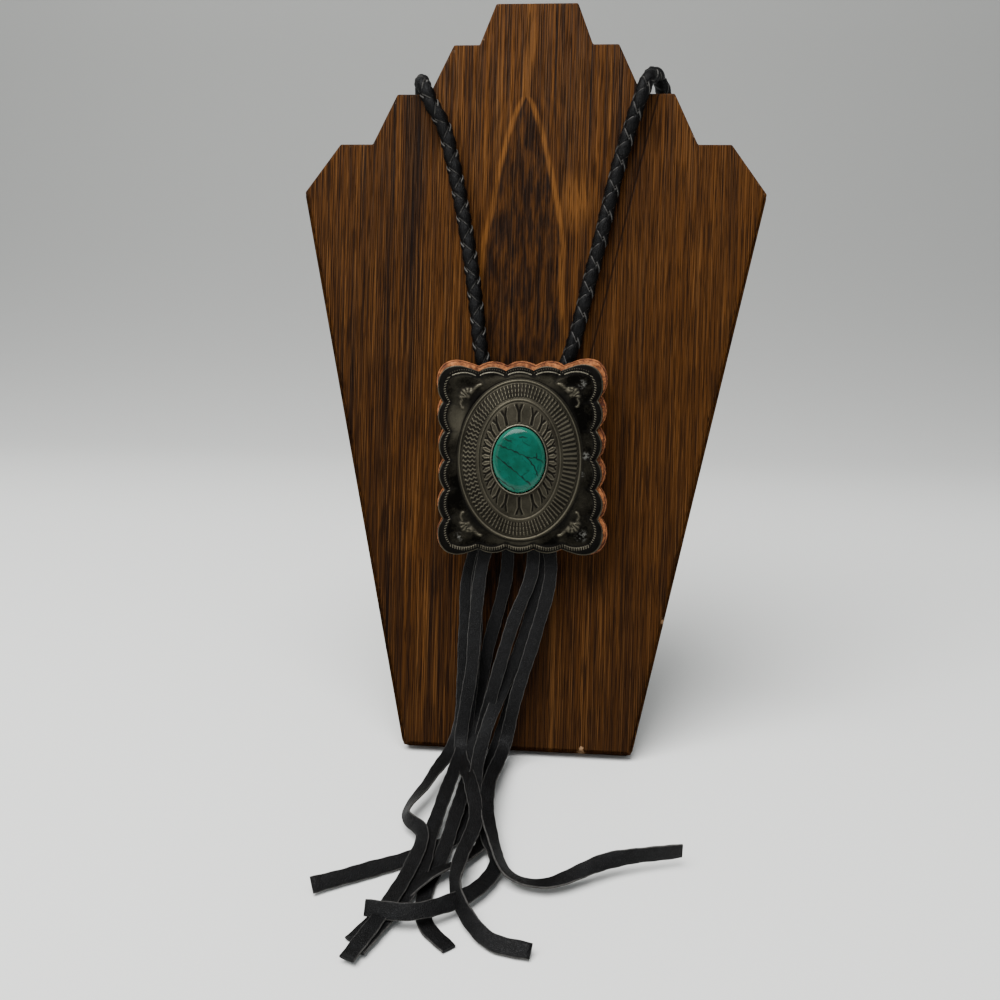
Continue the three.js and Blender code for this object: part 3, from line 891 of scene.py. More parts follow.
def rings_and_angles(shares: np.ndarray, sides: int) -> tuple[np.ndarray, np.ndarray]:
    """Every ring's share along a piece and every angle round it, as two tables."""
    return np.meshgrid(shares, round_angles(sides), indexing="ij")


def signed_power(values: np.ndarray, power: float) -> np.ndarray:
    """A power of the values that keeps their signs."""
    return np.sign(values) * np.abs(values) ** power


def tube_faces(rings: int, count: int, lids: bool = True, first: int = 0) -> list:
    """Faces of a closed skin of rings, all with the same count.

    Args:
        rings: Number of rings.
        count: Points to a ring.
        lids: Whether a face closes each end.
        first: Number of the skin's first point.

    Returns:
        The faces.
    """
    r, i = np.meshgrid(np.arange(rings - 1), np.arange(count), indexing="ij")
    a = (r * count + i).ravel() + first
    b = (r * count + (i + 1) % count).ravel() + first
    faces = np.stack([a, b, b + count, a + count], axis=1).tolist()
    if lids:
        end = first + rings * count
        faces.append(list(range(first, first + count))[::-1])
        faces.append(list(range(end - count, end)))
    return faces


def put(name: str, data: bpy.types.ID, place: Matrix) -> bpy.types.Object:
    """Adds an object to the scene.

    Args:
        name: The object's name.
        data: Its mesh, lamp or camera.
        place: From its own axes to the row frame.

    Returns:
        The object.
    """
    made = bpy.data.objects.new(name, data)
    bpy.context.scene.collection.objects.link(made)
    made.matrix_world = place
    return made


def skin(name: str, points: np.ndarray | list, faces: list, finish: Finish, smooth: bool) -> bpy.types.Mesh:
    """Makes a mesh.

    Args:
        name: The mesh's name.
        points: Its points.
        faces: Its faces.
        finish: Its material.
        smooth: Whether the faces shade as one skin.

    Returns:
        The mesh.
    """
    mesh = bpy.data.meshes.new(name)
    mesh.from_pydata(np.asarray(points, float).tolist(), [], faces)
    if smooth:
        mesh.shade_smooth()
    mesh.materials.append(finish.material())
    return mesh


@dataclass
class Piece:
    """A visual piece that stands for a node of the frame."""

    name: str
    part: Part
    slot: Slot
    finish: Finish

    def make(
        self,
        vertices: np.ndarray,
        faces: list,
        marks: dict | None = None,
        matrix: Matrix | None = None,
        smooth: bool = True,
    ) -> bpy.types.Object:
        """Makes the mesh, places it and ties it to the frame.

        Args:
            vertices: Points in the piece's own axes.
            faces: Faces of the mesh.
            marks: Values that each point carries for the shader.
            matrix: From the piece's axes to the row frame.
            smooth: Whether the faces shade as one skin.

        Returns:
            The placed object.
        """
        mesh = skin(self.name, vertices, faces, self.finish, smooth)
        for name, values in (marks or {}).items():
            kept = mesh.attributes.new(name, "FLOAT", "POINT")
            kept.data.foreach_set("value", np.asarray(values, np.float32).ravel())
        made = put(self.name, mesh, matrix or Matrix.Identity(4))
        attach(made, "root")
        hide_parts(self.part.value)
        LOG.info("%s: %d points", self.name, len(mesh.vertices))
        return made


# Camera and cord

@dataclass(frozen=True)
class PhotoCamera:
    """Camera at the photo's place: in front of the board, a little above it."""

    place: tuple = (0.024, -0.3656, 0.2145)
    heading: float = math.radians(4.75)
    down: float = math.radians(14.95)
    roll: float = math.radians(0.46)
    lens: float = 36.0
    sensor: float = 36.0

    def build(self) -> None:
        """Makes the camera and hands it to the scene."""
        data = bpy.data.cameras.new("photo_camera")
        data.lens = self.lens
        data.sensor_width = self.sensor
        data.clip_start = 0.01
        turn = Matrix.Rotation(self.heading, 4, "Z") @ Matrix.Rotation(math.pi / 2 - self.down, 4, "X")
        place = Matrix.Translation(self.place) @ turn @ Matrix.Rotation(self.roll, 4, "Z")
        bpy.context.scene.camera = put("photo_camera", data, place)


@dataclass
class BraidedCord:
    """Round braid of four flat strands: two wind each way, over one and under one."""

    board: BoardFrame
    finish: Finish
    pitch: float = 21.4 * MM
    radius: float = 2.35 * MM
    lift: float = 0.42 * MM
    strand_half: float = 2.75 * MM
    strand_thick: float = 0.9 * MM
    strand_bow: float = 0.22 * MM
    core: float = 1.6 * MM
    strand_sides: int = 10
    strand_rings: int = 28
    core_sides: int = 8
    core_rings: int = 240
    declared_points: int = 260

    def path(self) -> SmoothPath:
        """Centreline from knot to knot."""
        return SmoothPath(self.board.points(CORD_ROUTE))

    def strand(self, path: SmoothPath, hand: int, start: float) -> tuple[np.ndarray, np.ndarray]:
        """One strand of the braid.

        Args:
            path: The cord's centreline.
            hand: 1 for a strand that winds one way, -1 for the other.
            start: Angle at the start.

        Returns:
            The strand's points, ring by ring, and their places across it.
        """
        rings = int(path.length / self.pitch * self.strand_rings)
        line = path.even(rings)
        along, side, third = carried_axes(line, np.array([1.0, 0.0, 0.0]))
        at = np.linspace(0, path.length, rings)[:, None]
        section = round_angles(self.strand_sides)[None, :]
        width = signed_power(np.cos(section), 0.7) * self.strand_half
        height = signed_power(np.sin(section), 0.8) * self.strand_thick / 2
        slope = math.atan(2 * math.pi * self.radius / self.pitch)
        moved = np.clip(at - hand * width * math.sin(slope), 0, path.length)
        angle = hand * 2 * math.pi * at / self.pitch + start + width * math.cos(slope) / self.radius
        bow = self.strand_bow * (1 - (width / self.strand_half) ** 2)
        out = self.radius + hand * self.lift * np.cos(4 * math.pi * at / self.pitch) + height + bow
        out = np.maximum(out, 0.5 * MM)

        def carried(columns: np.ndarray) -> np.ndarray:
            """Values at even steps, read where each point has moved to."""
            return np.stack([np.interp(moved, at[:, 0], c) for c in columns.T], axis=-1)

        turned = np.cos(angle)[..., None] * carried(side) + np.sin(angle)[..., None] * carried(third)
        points = carried(line) + out[..., None] * turned
        return points.reshape(-1, 3), np.broadcast_to(width / self.strand_half, out.shape).ravel()

    def core_tube(self, path: SmoothPath) -> np.ndarray:
        """Points of the plain core inside the braid.

        Args:
            path: The cord's centreline.

        Returns:
            The points, ring by ring.
        """
        line = path.even(self.core_rings)
        _, side, third = carried_axes(line, np.array([1.0, 0.0, 0.0]))
        angle = round_angles(self.core_sides)[None, :, None]
        ring = np.cos(angle) * side[:, None] + np.sin(angle) * third[:, None]
        return (line[:, None] + self.core * ring).reshape(-1, 3)

    def build(self) -> bpy.types.Object:
        """Returns:
            The cord.
        """
        path = self.path()
        skins = [
            (*self.strand(path, hand, start), self.strand_sides, 0)
            for hand in (1, -1)
            for start in (math.pi / 4, math.pi * 5 / 4)
        ]
        core = self.core_tube(path)
        skins.append((core, np.zeros(len(core)), self.core_sides, 1))
        points, across, faces, flesh, first = [], [], [], [], 0
        for skin_points, width, sides, raw in skins:
            faces += tube_faces(len(skin_points) // sides, sides, first=first)
            points.append(skin_points)
            across.append(width)
            flesh.append(np.full(len(skin_points), raw))
            first += len(skin_points)
        marks = {"across": np.concatenate(across), "flesh": np.concatenate(flesh)}
        piece = Piece("braided_cord", Part.CORD, Slot.BRAID, self.finish)
        made = piece.make(np.vstack(points), faces, marks)
        line = path.even(self.declared_points)
        LOG.info("cord length: %.3f m", path.length)
        return made


# Laces and knots

@dataclass(frozen=True)
class Hang:
    """A place of a lace in front of the board: shares of the slide's half width, the knots' height
    and the lace's width."""

    across: float
    up: float
    out: float


@dataclass(frozen=True)
class Lie:
    """A place of a lace over the surface: shares of the fringe's reach, height in lace widths, the
    way the flat side looks, 0 for forward and 90 for up, and how far it is then twisted, in degrees."""

    across: float
    forward: float
    high: float
    face: float
    turn: float = 0


@dataclass(frozen=True)
class Lace:
    """One flat lace of an unbraided end: which knot it leaves, where it lies in it, and its path."""

    name: str
    knot: int
    layer: float
    hang: tuple
    lie: tuple

    # How a lace leaves its knot: share of the way across to its first place, share of the knot's length down
    leave_across = 0.45
    leave_down = 0.75

    def path(self, board: BoardFrame) -> tuple[SmoothPath, list, list]:
        """The lace's path, and how its flat side looks and is twisted at each of its places.

        Args:
            board: The board's axes.

        Returns:
            The path, the angles that it looks and the angles of its twist, in degrees.
        """
        knot_across = SLIDE_ACROSS + self.knot * CORD_HALF_SPACING
        knot_out = CORD_OUT + self.layer * KNOT_RADIUS
        first = self.hang[0]
        below = (
            knot_across + (first.across * SLIDE_HALF - knot_across) * self.leave_across,
            KNOT_UP - KNOT_LENGTH * self.leave_down,
            (knot_out + first.out * LACE_WIDTH) / 2,
        )
        places = [(knot_across, KNOT_UP, knot_out), below]
        places += [(h.across * SLIDE_HALF, h.up * KNOT_UP, h.out * LACE_WIDTH) for h in self.hang]
        surface = np.array([board.origin.x, board.origin.y, 0.0])
        lying = [
            surface + np.array([h.across * FRINGE_REACH, -h.forward * FRINGE_REACH, h.high * LACE_WIDTH])
            for h in self.lie
        ]
        faces = [math.degrees(LEAN)] * len(places) + [h.face for h in self.lie]
        turns = [0] * len(places) + [h.turn for h in self.lie]
        return SmoothPath(np.vstack([board.points(places), *lying])), faces, turns


LACES = (
    Lace(
        "left_outer", -1, -0.45,
        (Hang(-0.65, 0.705, 0.35), Hang(-0.68, 0.435, 0.6), Hang(-0.72, 0.08, 1.05)),
        (
            Lie(-0.242, 0.27, 1.3, 30, 35), Lie(-0.284, 0.44, 1.0, 40, 60),
            Lie(-0.226, 0.515, 0.95, 75, 20),
            Lie(-0.23, 0.66, 0.85, 80), Lie(-0.275, 0.86, 0.7, 85), Lie(-0.325, 1.0, 0.4, 85),
        ),
    ),
    Lace(
        "left_front", -1, 0.45,
        (Hang(-0.46, 0.75, 1.45), Hang(-0.53, 0.53, 1.75), Hang(-0.55, 0.35, 2.0), Hang(-0.66, 0.04, 2.3)),
        (
            Lie(-0.11, 0.33, 1.9, 50), Lie(-0.08, 0.48, 1.5, 65), Lie(-0.103, 0.65, 1.2, 75),
            Lie(-0.098, 0.77, 1.1, 75, 60), Lie(-0.055, 0.85, 0.65, 75, 45), Lie(0.005, 0.91, 0.4, 60),
            Lie(0.1, 0.935, 0.4, 55),
        ),
    ),
    Lace(
        "left_middle", -1, -0.15,
        (Hang(-0.52, 0.705, 0.65), Hang(-0.54, 0.435, 0.95), Hang(-0.62, 0.08, 1.35)),
        (
            Lie(-0.185, 0.33, 1.25, 45), Lie(-0.2, 0.5, 0.85, 65), Lie(-0.21, 0.71, 0.6, 80),
            Lie(-0.308, 0.97, 0.35, 85),
        ),
    ),
    Lace(
        "left_inner", -1, 0.15,
        (Hang(-0.18, 0.685, 0.5), Hang(-0.38, 0.405, 0.65), Hang(-0.52, 0.12, 0.8)),
        (
            Lie(-0.12, 0.32, 0.8, 50), Lie(-0.12, 0.475, 0.5, 60), Lie(-0.21, 0.575, 0.4, 50),
            Lie(-0.35, 0.67, 0.45, 40), Lie(-0.475, 0.75, 0.55, 40),
        ),
    ),
    Lace(
        "right_crossing", 1, 0.4,
        (Hang(0.15, 0.715, 1.5), Hang(-0.06, 0.52, 1.7), Hang(-0.25, 0.3, 1.85), Hang(-0.47, 0.02, 1.85)),
        (
            Lie(-0.14, 0.38, 1.1, 60), Lie(-0.16, 0.6, 0.5, 75), Lie(-0.183, 0.74, 0.2, 90),
            Lie(-0.163, 0.85, 0.15, 90), Lie(-0.095, 0.93, 0.15, 90),
        ),
    ),
    Lace(
        "right_inner", 1, 0.1,
        (Hang(0.24, 0.705, 1.1), Hang(0.03, 0.415, 1.35), Hang(-0.33, 0.13, 2.2)),
        (
            Lie(-0.099, 0.325, 1.5, 60), Lie(-0.055, 0.5, 0.45, 80), Lie(-0.09, 0.59, 0.5, 60, 45),
            Lie(-0.18, 0.7, 0.75, 55, 45), Lie(-0.266, 0.81, 0.3, 70), Lie(-0.332, 0.925, 0.15, 85),
        ),
    ),
    Lace(
        "right_back", 1, -0.45,
        (Hang(0.26, 0.705, 0.65), Hang(0.08, 0.365, 1.0), Hang(-0.2, 0.06, 1.3)),
        (
            Lie(-0.078, 0.31, 1.1, 60), Lie(-0.046, 0.5, 0.8, 80), Lie(-0.01, 0.61, 0.55, 70),
            Lie(-0.058, 0.75, 0.75, 45), Lie(-0.19, 0.857, 1.05, 40), Lie(-0.315, 0.845, 0.9, 35),
        ),
    ),
    Lace(
        "right_outer", 1, -0.15,
        (Hang(0.38, 0.725, 1.3), Hang(0.21, 0.465, 1.5), Hang(0.0, 0.235, 1.7), Hang(-0.12, 0.05, 1.75)),
        (
            Lie(-0.06, 0.345, 1.7, 60), Lie(-0.032, 0.525, 1.3, 60, -40), Lie(0.03, 0.665, 0.65, 45, -60),
            Lie(0.12, 0.69, 0.6, 45, -55), Lie(0.29, 0.607, 1.1, 25), Lie(0.485, 0.545, 1.1, 25, 30),
        ),
    ),
)


@dataclass
class Fringe:
    """The two knots that finish the braids and the flat laces that hang from them."""

    board: BoardFrame
    finish: Finish
    cut_width: float = 5.4 * MM
    cut_thick: float = 1.1 * MM
    rings: int = 150
    sides: int = 14

    def lace(self, lace: Lace, number: int) -> bpy.types.Object:
        """One lace: a strip with rounded edges that waver a little.

        Args:
            lace: The lace's path.
            number: Its number, which seeds the wavering of its edges.

        Returns:
            The lace.
        """
        path, faces, turns = lace.path(self.board)
        line = path.even(self.rings)
        face = np.radians(path.follow(faces, self.rings))
        turn = np.radians(path.follow(turns, self.rings))[:, None]
        looks = np.stack([0 * face, -np.cos(face), np.sin(face)], axis=1)
        along = unit(np.gradient(line, axis=0))
        flat = unit(np.cross(along, looks))
        across = flat * np.cos(turn) + np.cross(along, flat) * np.sin(turn)
        through = np.cross(across, along)
        at = np.linspace(0, path.length, self.rings)[:, None]
        waver = 1 + 0.035 * np.sin(at / MM * 0.31 + number) + 0.03 * np.sin(at / MM * 0.93 + 2.3 * number)
        section = round_angles(self.sides) + math.pi / self.sides
        width = signed_power(np.cos(section), 0.35)
        height = signed_power(np.sin(section), 0.6)
        dish = 0.1 * self.cut_thick * (width**2 - 0.5)
        points = (
            line[:, None]
            + across[:, None] * (waver * width * self.cut_width / 2)[..., None]
            + through[:, None] * (height * self.cut_thick / 2 + dish)[None, :, None]
        )
        size = (self.rings, self.sides)
        marks = {"across": np.broadcast_to(width, size), "flesh": np.broadcast_to(height < 0, size)}
        piece = Piece(f"lace_{lace.name}", Part.FRINGE, Slot.LACE, self.finish)
        return piece.make(points.reshape(-1, 3), tube_faces(self.rings, self.sides), marks)

    def knot(self, side: int) -> bpy.types.Object:
        """A knot: a lace wound in four turns over the end of the braid.

        Args:
            side: -1 for the left one, 1 for the right one.

        Returns:
            The knot.
        """
        rings, sides, turns = 48, 36, 4
        share, angle = rings_and_angles(np.linspace(0, 1, rings), sides)
        swell = np.sin(math.pi * np.clip(share, 0.02, 0.98)) ** 0.35
        winding = np.abs(np.sin(math.pi * turns * share - angle / 2))
        radius = KNOT_RADIUS * swell * (0.84 + 0.16 * winding**0.6)
        places = np.stack([
            SLIDE_ACROSS + side * CORD_HALF_SPACING + radius * np.cos(angle),
            KNOT_UP + (share - 0.5) * KNOT_LENGTH,
            CORD_OUT - radius * np.sin(angle),
        ], axis=-1)
        # Where the turns meet, the across mark reaches the strip edge and takes the painted edge highlight
        marks = {"across": 1 - winding * 1.6, "flesh": np.zeros(rings * sides)}
        name = "left" if side < 0 else "right"
        piece = Piece(f"knot_{name}", Part.FRINGE, Slot.LACE, self.finish)
        return piece.make(self.board.points(places.reshape(-1, 3)), tube_faces(rings, sides), marks)

    def build(self) -> None:
        """Makes the knots and the laces."""
        for side in (-1, 1):
            self.knot(side)
        for number, lace in enumerate(LACES):
            self.lace(lace, number)


# Slide

@dataclass(frozen=True)
class SlideOutline:
    """Scalloped outline of the slide, anticlockwise from the middle of its right side."""

    half_width: float
    half_height: float
    depth: float
    steps: int = 36

    def scallop(self, start: np.ndarray, end: np.ndarray, share: np.ndarray, depth: float) -> np.ndarray:
        """Points of one scallop between its cusps.

        Args:
            start: Its first cusp.
            end: Its last cusp.
            share: Share of the way of each point.
            depth: How far it bulges out.

        Returns:
            The points.
        """
        run = end - start
        outward = unit(np.array([run[1], -run[0]]))
        share = share[:, None]
        return start + run * share + outward * depth * 4 * share * (1 - share)

    def quarter(self) -> tuple[np.ndarray, np.ndarray]:
        """A quarter from the middle of the side to the middle of the top.

        Returns:
            The points and each one's share of the way along its scallop.
        """
        half = np.array([self.half_width, self.half_height])
        points, shares = [], []
        for k, (across, up, bulge) in enumerate(SCALLOPS):
            last = k == len(SCALLOPS) - 1
            start = half * (across, up)
            end = start * (-1, 1) if last else half * SCALLOPS[k + 1][:2]
            count = self.steps // 2 + 1 if last else self.steps
            share = np.arange(count) / self.steps
            if bulge:
                points.append(self.scallop(start, end, share, bulge * self.depth))
            else:
                points.append(SmoothPath(half * np.array(CORNER_LOBE)).even(self.steps + 1)[:-1])
            shares.append(share)
        return np.vstack(points), np.concatenate(shares)

    def whole(self) -> tuple[np.ndarray, np.ndarray]:
        """The whole outline.

        Returns:
            The same two arrays as for a quarter.
        """
        points, shares = self.quarter()
        mirrored = points[1:-1][::-1] * (-1, 1)
        upper = np.vstack([points, mirrored])
        upper_shares = np.concatenate([shares, 1 - shares[1:-1][::-1]])
        return np.vstack([upper, -upper]), np.tile(upper_shares, 2)


def bell(value: np.ndarray, middle: float, width: float) -> np.ndarray:
    """A smooth bump of height 1."""
    return np.exp(-((value - middle) / width) ** 2)


def window(value: np.ndarray, low: float, high: float, soft: float) -> np.ndarray:
    """A plateau with soft ends.

    Args:
        value: Where it is read.
        low: Where it starts.
        high: Where it ends.
        soft: Length of the rise and of the fall.

    Returns:
        1 on the plateau, 0 outside it.
    """
    rise = np.clip((value - low) / soft, 0, 1)
    fall = np.clip((high - value) / soft, 0, 1)
    return rise * rise * (3 - 2 * rise) * fall * fall * (3 - 2 * fall)


def distance_to_line(place: np.ndarray, line: tuple) -> np.ndarray:
    """Distance of places from a line of straight stretches.

    Args:
        place: Places, two numbers each.
        line: The line's points.

    Returns:
        The distances.
    """
    nearest = np.full(place.shape[:-1], 99.0)
    for start, end in zip(line, line[1:]):
        run = np.subtract(end, start)
        share = np.clip(((place - start) @ run) / (run @ run), 0, 1)
        away = np.linalg.norm(place - (start + share[..., None] * run), axis=-1)
        nearest = np.minimum(nearest, away)
    return nearest


@dataclass
class Concho:
    """Cast plate of the slide: scalloped border, corner shells, oval dome with forked rays, and the
    bezel, in millimetres. It carries marks of where the frame's and the dome's stamps lie."""

    board: BoardFrame
    finish: Finish
    edge: float = 1.1
    field_height: float = 2.0
    dome_height: float = 5.0
    rays: int = 28
    border_wide: float = 6.4
    rows: list = field(default_factory=list)

    # Cusps of the frame's arcs: across for those above and below, up for those at the sides
    across_cusps = np.array([-28.6, -17.2, -5.8, 5.8, 17.2, 28.6])
    up_cusps = np.array([-34.2, -23.9, -11.8, 0, 11.8, 23.9, 34.2])

    # The dome's section: places from its rim, 0, over the inner ring, 1, to the bezel, 2, and the rise
    dome_start = -0.08
    dome_places = (dome_start, 0, 0.1, 0.26, 0.76, 0.9, 1.05, 1.2, 1.5, 1.88, 2)
    dome_rises = (0, 0.12, 0.16, 0.32, 0.66, 0.72, 0.76, 0.82, 0.9, 0.98, 1)

    # Scroll lines beside the shells, in one quarter
    scrolls = (
        ((19.8, 27.2), (18.4, 28.9), (16.9, 30.3), (15.7, 30.7)),
        ((23.4, 24.7), (24.1, 23.0), (23.6, 21.6), (22.9, 21.3)),
    )

    def row(self, x: np.ndarray, y: np.ndarray, *values: np.ndarray | float, oval: float = -1) -> None:
        """Adds a ring of the plate with its marks.

        Args:
            x: Places across the plate.
            y: Places up it.
            values: Height, how bright the metal is from rubbing and from painted reflection, and how dark it
                lies, at each place.
            oval: The ring's place on the dome, as in the method of that name.
        """
        flat = np.zeros_like(x)
        z, wear_and_reflection, hollow = values
        marks = [flat + wear_and_reflection, flat + hollow, *self.frame_marks(x, y), flat + oval]
        self.rows.append(np.stack([x, y, flat + z, *marks], axis=1))

    def oval(self, at: float) -> tuple[float, float]:
        """Half width and half height of one of the dome's ovals.

        Args:
            at: Its place: 0 at the dome's rim, 1 at the inner ring, 2 at the bezel.

        Returns:
            The two halves.
        """
        bezel = [half / MM + GAP / MM + BEZEL_WALL / MM for half in STONE_HALF]
        ovals = np.array([DOME_RIM, INNER_RING, bezel])
        table = np.vstack([2 * ovals[0] - ovals[1], ovals])
        return tuple(np.interp(at, [-1, 0, 1, 2], column) for column in table.T)

    def reflection_and_tone(self, x: np.ndarray, y: np.ndarray) -> np.ndarray:
        """Lightness of the flat ground: a painted reflection at the upper left, and a lighter tone above and
        below the dome.
        """
        left, ends = bell(x, -25, 6) * bell(y, 15, 8), bell(np.abs(y), 33, 5) * bell(x, 0, 14)
        return 0.02 + 0.19 * left + 0.09 * ends

    def border(self, edge: np.ndarray, share: np.ndarray, rim: np.ndarray) -> np.ndarray:
        """Rows from the edge over the scallops.

        Args:
            edge: The plate's outline.
            share: Share of the way along the scallop.
            rim: The dome's rim.

        Returns:
            The inner edge of these rows.
        """
        reach = np.linalg.norm(rim - edge, axis=1)
        inward = unit(rim - edge)
        wide = np.minimum(self.border_wide, 0.84 * reach)
        x, y = edge.T
        self.row(x, y, 0, 0, 0.3)
        self.row(x, y, self.edge * 0.7, 0.2, 0.2)
        petal = np.sin(math.pi * share) ** 0.7
        cusp = bell(share, 0, 0.05) + bell(share, 1, 0.05)
        for f in np.linspace(0.015, 1, 36):
            place = edge + inward * (wide * f)[:, None]
            lip = bell(f, 0.04, 0.05)
            base = self.edge + (self.field_height - self.edge) * f**0.55
            rise = 0.4 * petal * window(f, -0.2, 0.7, 0.3) + 0.12 * lip
            fall = 0.45 * cusp * window(f, -0.1, 0.5, 0.2)
            # Brightness: the rubbed lip, and the painted reflection on the ground inside the border
            wear_and_reflection = np.clip(0.3 * lip + self.reflection_and_tone(*place.T) * window(f, 0.4, 2, 0.5), 0, 1)
            hollow = np.clip(0.75 * window(f, 0.06, 0.55, 0.15) + 0.5 * cusp, 0, 1)
            self.row(*place.T, base + rise - fall, wear_and_reflection, hollow)
        return edge + inward * wide[:, None]

    def frame_marks(self, x: np.ndarray, y: np.ndarray) -> tuple[np.ndarray, np.ndarray]:
        """Distances from the arcs of the frame inside the scallops.

        Args:
            x: Places across the plate.
            y: Places up it.

        Returns:
            How far each place lies outside the arcs at the sides, and outside those above and below.
        """
        half_wide, half_high = FRAME_HALF

        def bulge(place: np.ndarray, cusps: np.ndarray) -> np.ndarray:
            """How far the arcs stand out, from 0 at their cusps to 1 between them."""
            k = np.clip(np.searchsorted(cusps, place) - 1, 0, len(cusps) - 2)
            share = np.clip((place - cusps[k]) / (cusps[k + 1] - cusps[k]), 0, 1)
            return 4 * share * (1 - share)

        side = np.abs(x) - half_wide - 2.0 * bulge(y, self.up_cusps)
        return side, np.abs(y) - half_high - 1.6 * bulge(x, self.across_cusps)

    def corner_relief(self, x: np.ndarray, y: np.ndarray) -> tuple[np.ndarray, np.ndarray]:
        """Shells and scrolls of the four corners.

        Args:
            x: Places across the plate.
            y: Places up it.

        Returns:
            Their height and how dark the ground between them is.
        """
        right, up = np.abs(x) - 21.0, np.abs(y) - 25.9
        away = np.hypot(right, up)
        turn = np.degrees(np.arctan2(up, right)) - 55
        ribs = 0.5 + 0.5 * np.cos(2 * math.pi * turn / 30)
        shell = window(away, 0.7, 3.7, 0.4) * window(turn, -82, 82, 10)
        height = shell * (0.1 + 0.5 * ribs) + 0.5 * bell(away, 0, 0.6)
        place = np.stack([np.abs(x), np.abs(y)], axis=-1)
        for line in self.scrolls:
            height = height + 0.5 * bell(distance_to_line(place, line), 0, 0.32)
        return height, shell * (1 - ribs) * 0.8 + 0.3 * window(away, -1, 6, 2) * (1 - shell)

    def field_rows(self, start: np.ndarray, end: np.ndarray) -> None:
        """Rows between the border and the dome's rim.

        Args:
            start: The border's inner edge.
            end: The dome's rim.
        """
        for share in np.linspace(0.06, 1, 17):
            x, y = (start + (end - start) * share).T
            height, ground = self.corner_relief(x, y)
            fade = 1 - bell(share, 1, 0.12)
            # Brightness: the painted reflection on the ground, and the rubbed shells and scrolls
            wear_and_reflection = np.clip(self.reflection_and_tone(x, y) + height * 0.8, 0, 1) * fade
            hollow = np.clip(ground + 0.7 * bell(share, 1, 0.15), 0, 1)
            self.row(x, y, self.field_height + height * fade, wear_and_reflection, hollow)

    def ray_cuts(self, at: float, angle: np.ndarray) -> tuple[np.ndarray, np.ndarray]:
        """The forked rays between the inner ring and the bezel.

        Args:
            at: The ring's place on the dome.
            angle: Angles round it.

        Returns:
            How deep the rays are cut and how high the burr beside them stands.
        """
        a, b = self.oval(at)
        packed = angle + 0.26 * np.sin(2 * angle)
        spacing = 2 * math.pi / self.rays / (1 + 0.52 * np.cos(2 * angle))
        turn = (packed * self.rays / (2 * math.pi) + 0.5) % 1 - 0.5
        away = np.abs(turn) * spacing * np.hypot(a * np.sin(angle), b * np.cos(angle))
        fork_end, fork_start = 1.12 + 0.1 * np.cos(angle) ** 2, 1.50
        arm = (fork_start - at) * 3.5
        stem = window(at, 1.46, 1.94, 0.04)
        fork = window(at, fork_end, fork_start, 0.04)
        cut = bell(away, 0, 0.46) * stem + bell(away, arm, 0.40) * fork
        burr = bell(away, 0.8, 0.2) * stem + bell(away, arm + 0.7, 0.2) * fork
        return np.clip(cut, 0, 1), np.clip(burr, 0, 1)

    def dome_rows(self, angle: np.ndarray) -> None:
        """Rows of the dome: its rim, the ground of its stamps, its inner ring and its rays.

        Args:
            angle: Angles round it.
        """
        rise = self.dome_height - self.field_height
        for at in np.linspace(self.dome_start, 1.985, 74):
            a, b = self.oval(at)
            base = self.field_height + rise * np.interp(at, self.dome_places, self.dome_rises)
            rim = bell(at, 0.05, 0.03)
            inner = bell(at, 0.95, 0.025)
            band = window(at, 0.17, 0.84, 0.04)
            cut, burr = self.ray_cuts(at, angle)
            wear_and_reflection = 0.14 - 0.06 * band + 0.30 * rim + 0.18 * inner + 0.24 * burr
            grooves = bell(at, -0.06, 0.03) + 0.8 * bell(at, 0.125, 0.025) + 0.7 * bell(at, 1.02, 0.02)
            hollow = np.clip(0.85 * grooves + cut, 0, 1)
            height = base + 0.6 * rim + 0.35 * inner - 0.3 * cut + 0.15 * burr - 0.2 * grooves
            self.row(a * np.cos(angle), b * np.sin(angle), height, wear_and_reflection, hollow, oval=at)

    def bezel_rows(self, angle: np.ndarray) -> None:
        """Rows of the bezel's wall, from its foot outside to its floor.

        Args:
            angle: Angles round it.
        """
        a, b = self.oval(2)
        filed = 0.05 * np.sin(angle * 23) + 0.04 * np.sin(angle * 41 + 1)
        wall = BEZEL_WALL / MM
        top = self.dome_height + BEZEL_RISE / MM
        steps = [
            (0, self.dome_height, 0.1, 1), (0, self.dome_height + 0.7, 0.2, 0.2), (0, top - 0.25, 0.4, 0),
            (0.18, top, 0.6, 0), (wall - 0.15, top - 0.05, 0.5, 0), (wall, top - 0.4, 0.2, 0.5),
            (wall, self.dome_height - 1, 0, 1),
        ]
        for inset, z, wear_and_reflection, hollow in steps:
            x, y = (a - inset) * np.cos(angle), (b - inset) * np.sin(angle)
            self.row(x, y, z + filed * wear_and_reflection, wear_and_reflection, hollow)

    def build(self) -> bpy.types.Object:
        """Makes the plate.

        Returns:
            The plate.
        """
        outline = SlideOutline(SLIDE_HALF / MM, CONCHO_HALF_HEIGHT / MM, SCALLOP_DEPTH / MM)
        edge, share = outline.whole()
        angle = round_angles(len(edge))
        a, b = self.oval(self.dome_start)
        rim = np.stack([a * np.cos(angle), b * np.sin(angle)], axis=1)
        inside = self.border(edge, share, rim)
        self.field_rows(inside, rim)
        self.dome_rows(angle)
        self.bezel_rows(angle)
        table = np.stack(self.rows)
        points = table[..., :3].reshape(-1, 3) * MM
        names = ("wear_and_reflection", "hollow", "side", "level", "oval")
        marks = {name: table[..., 3 + i] for i, name in enumerate(names)}
        piece = Piece("concho_plate", Part.CONCHO, Slot.METAL, self.finish)
        place = self.board.slide() @ Matrix.Translation((0, 0, CONCHO_OUT))
        return piece.make(points, tube_faces(len(table), len(edge)), marks, place)


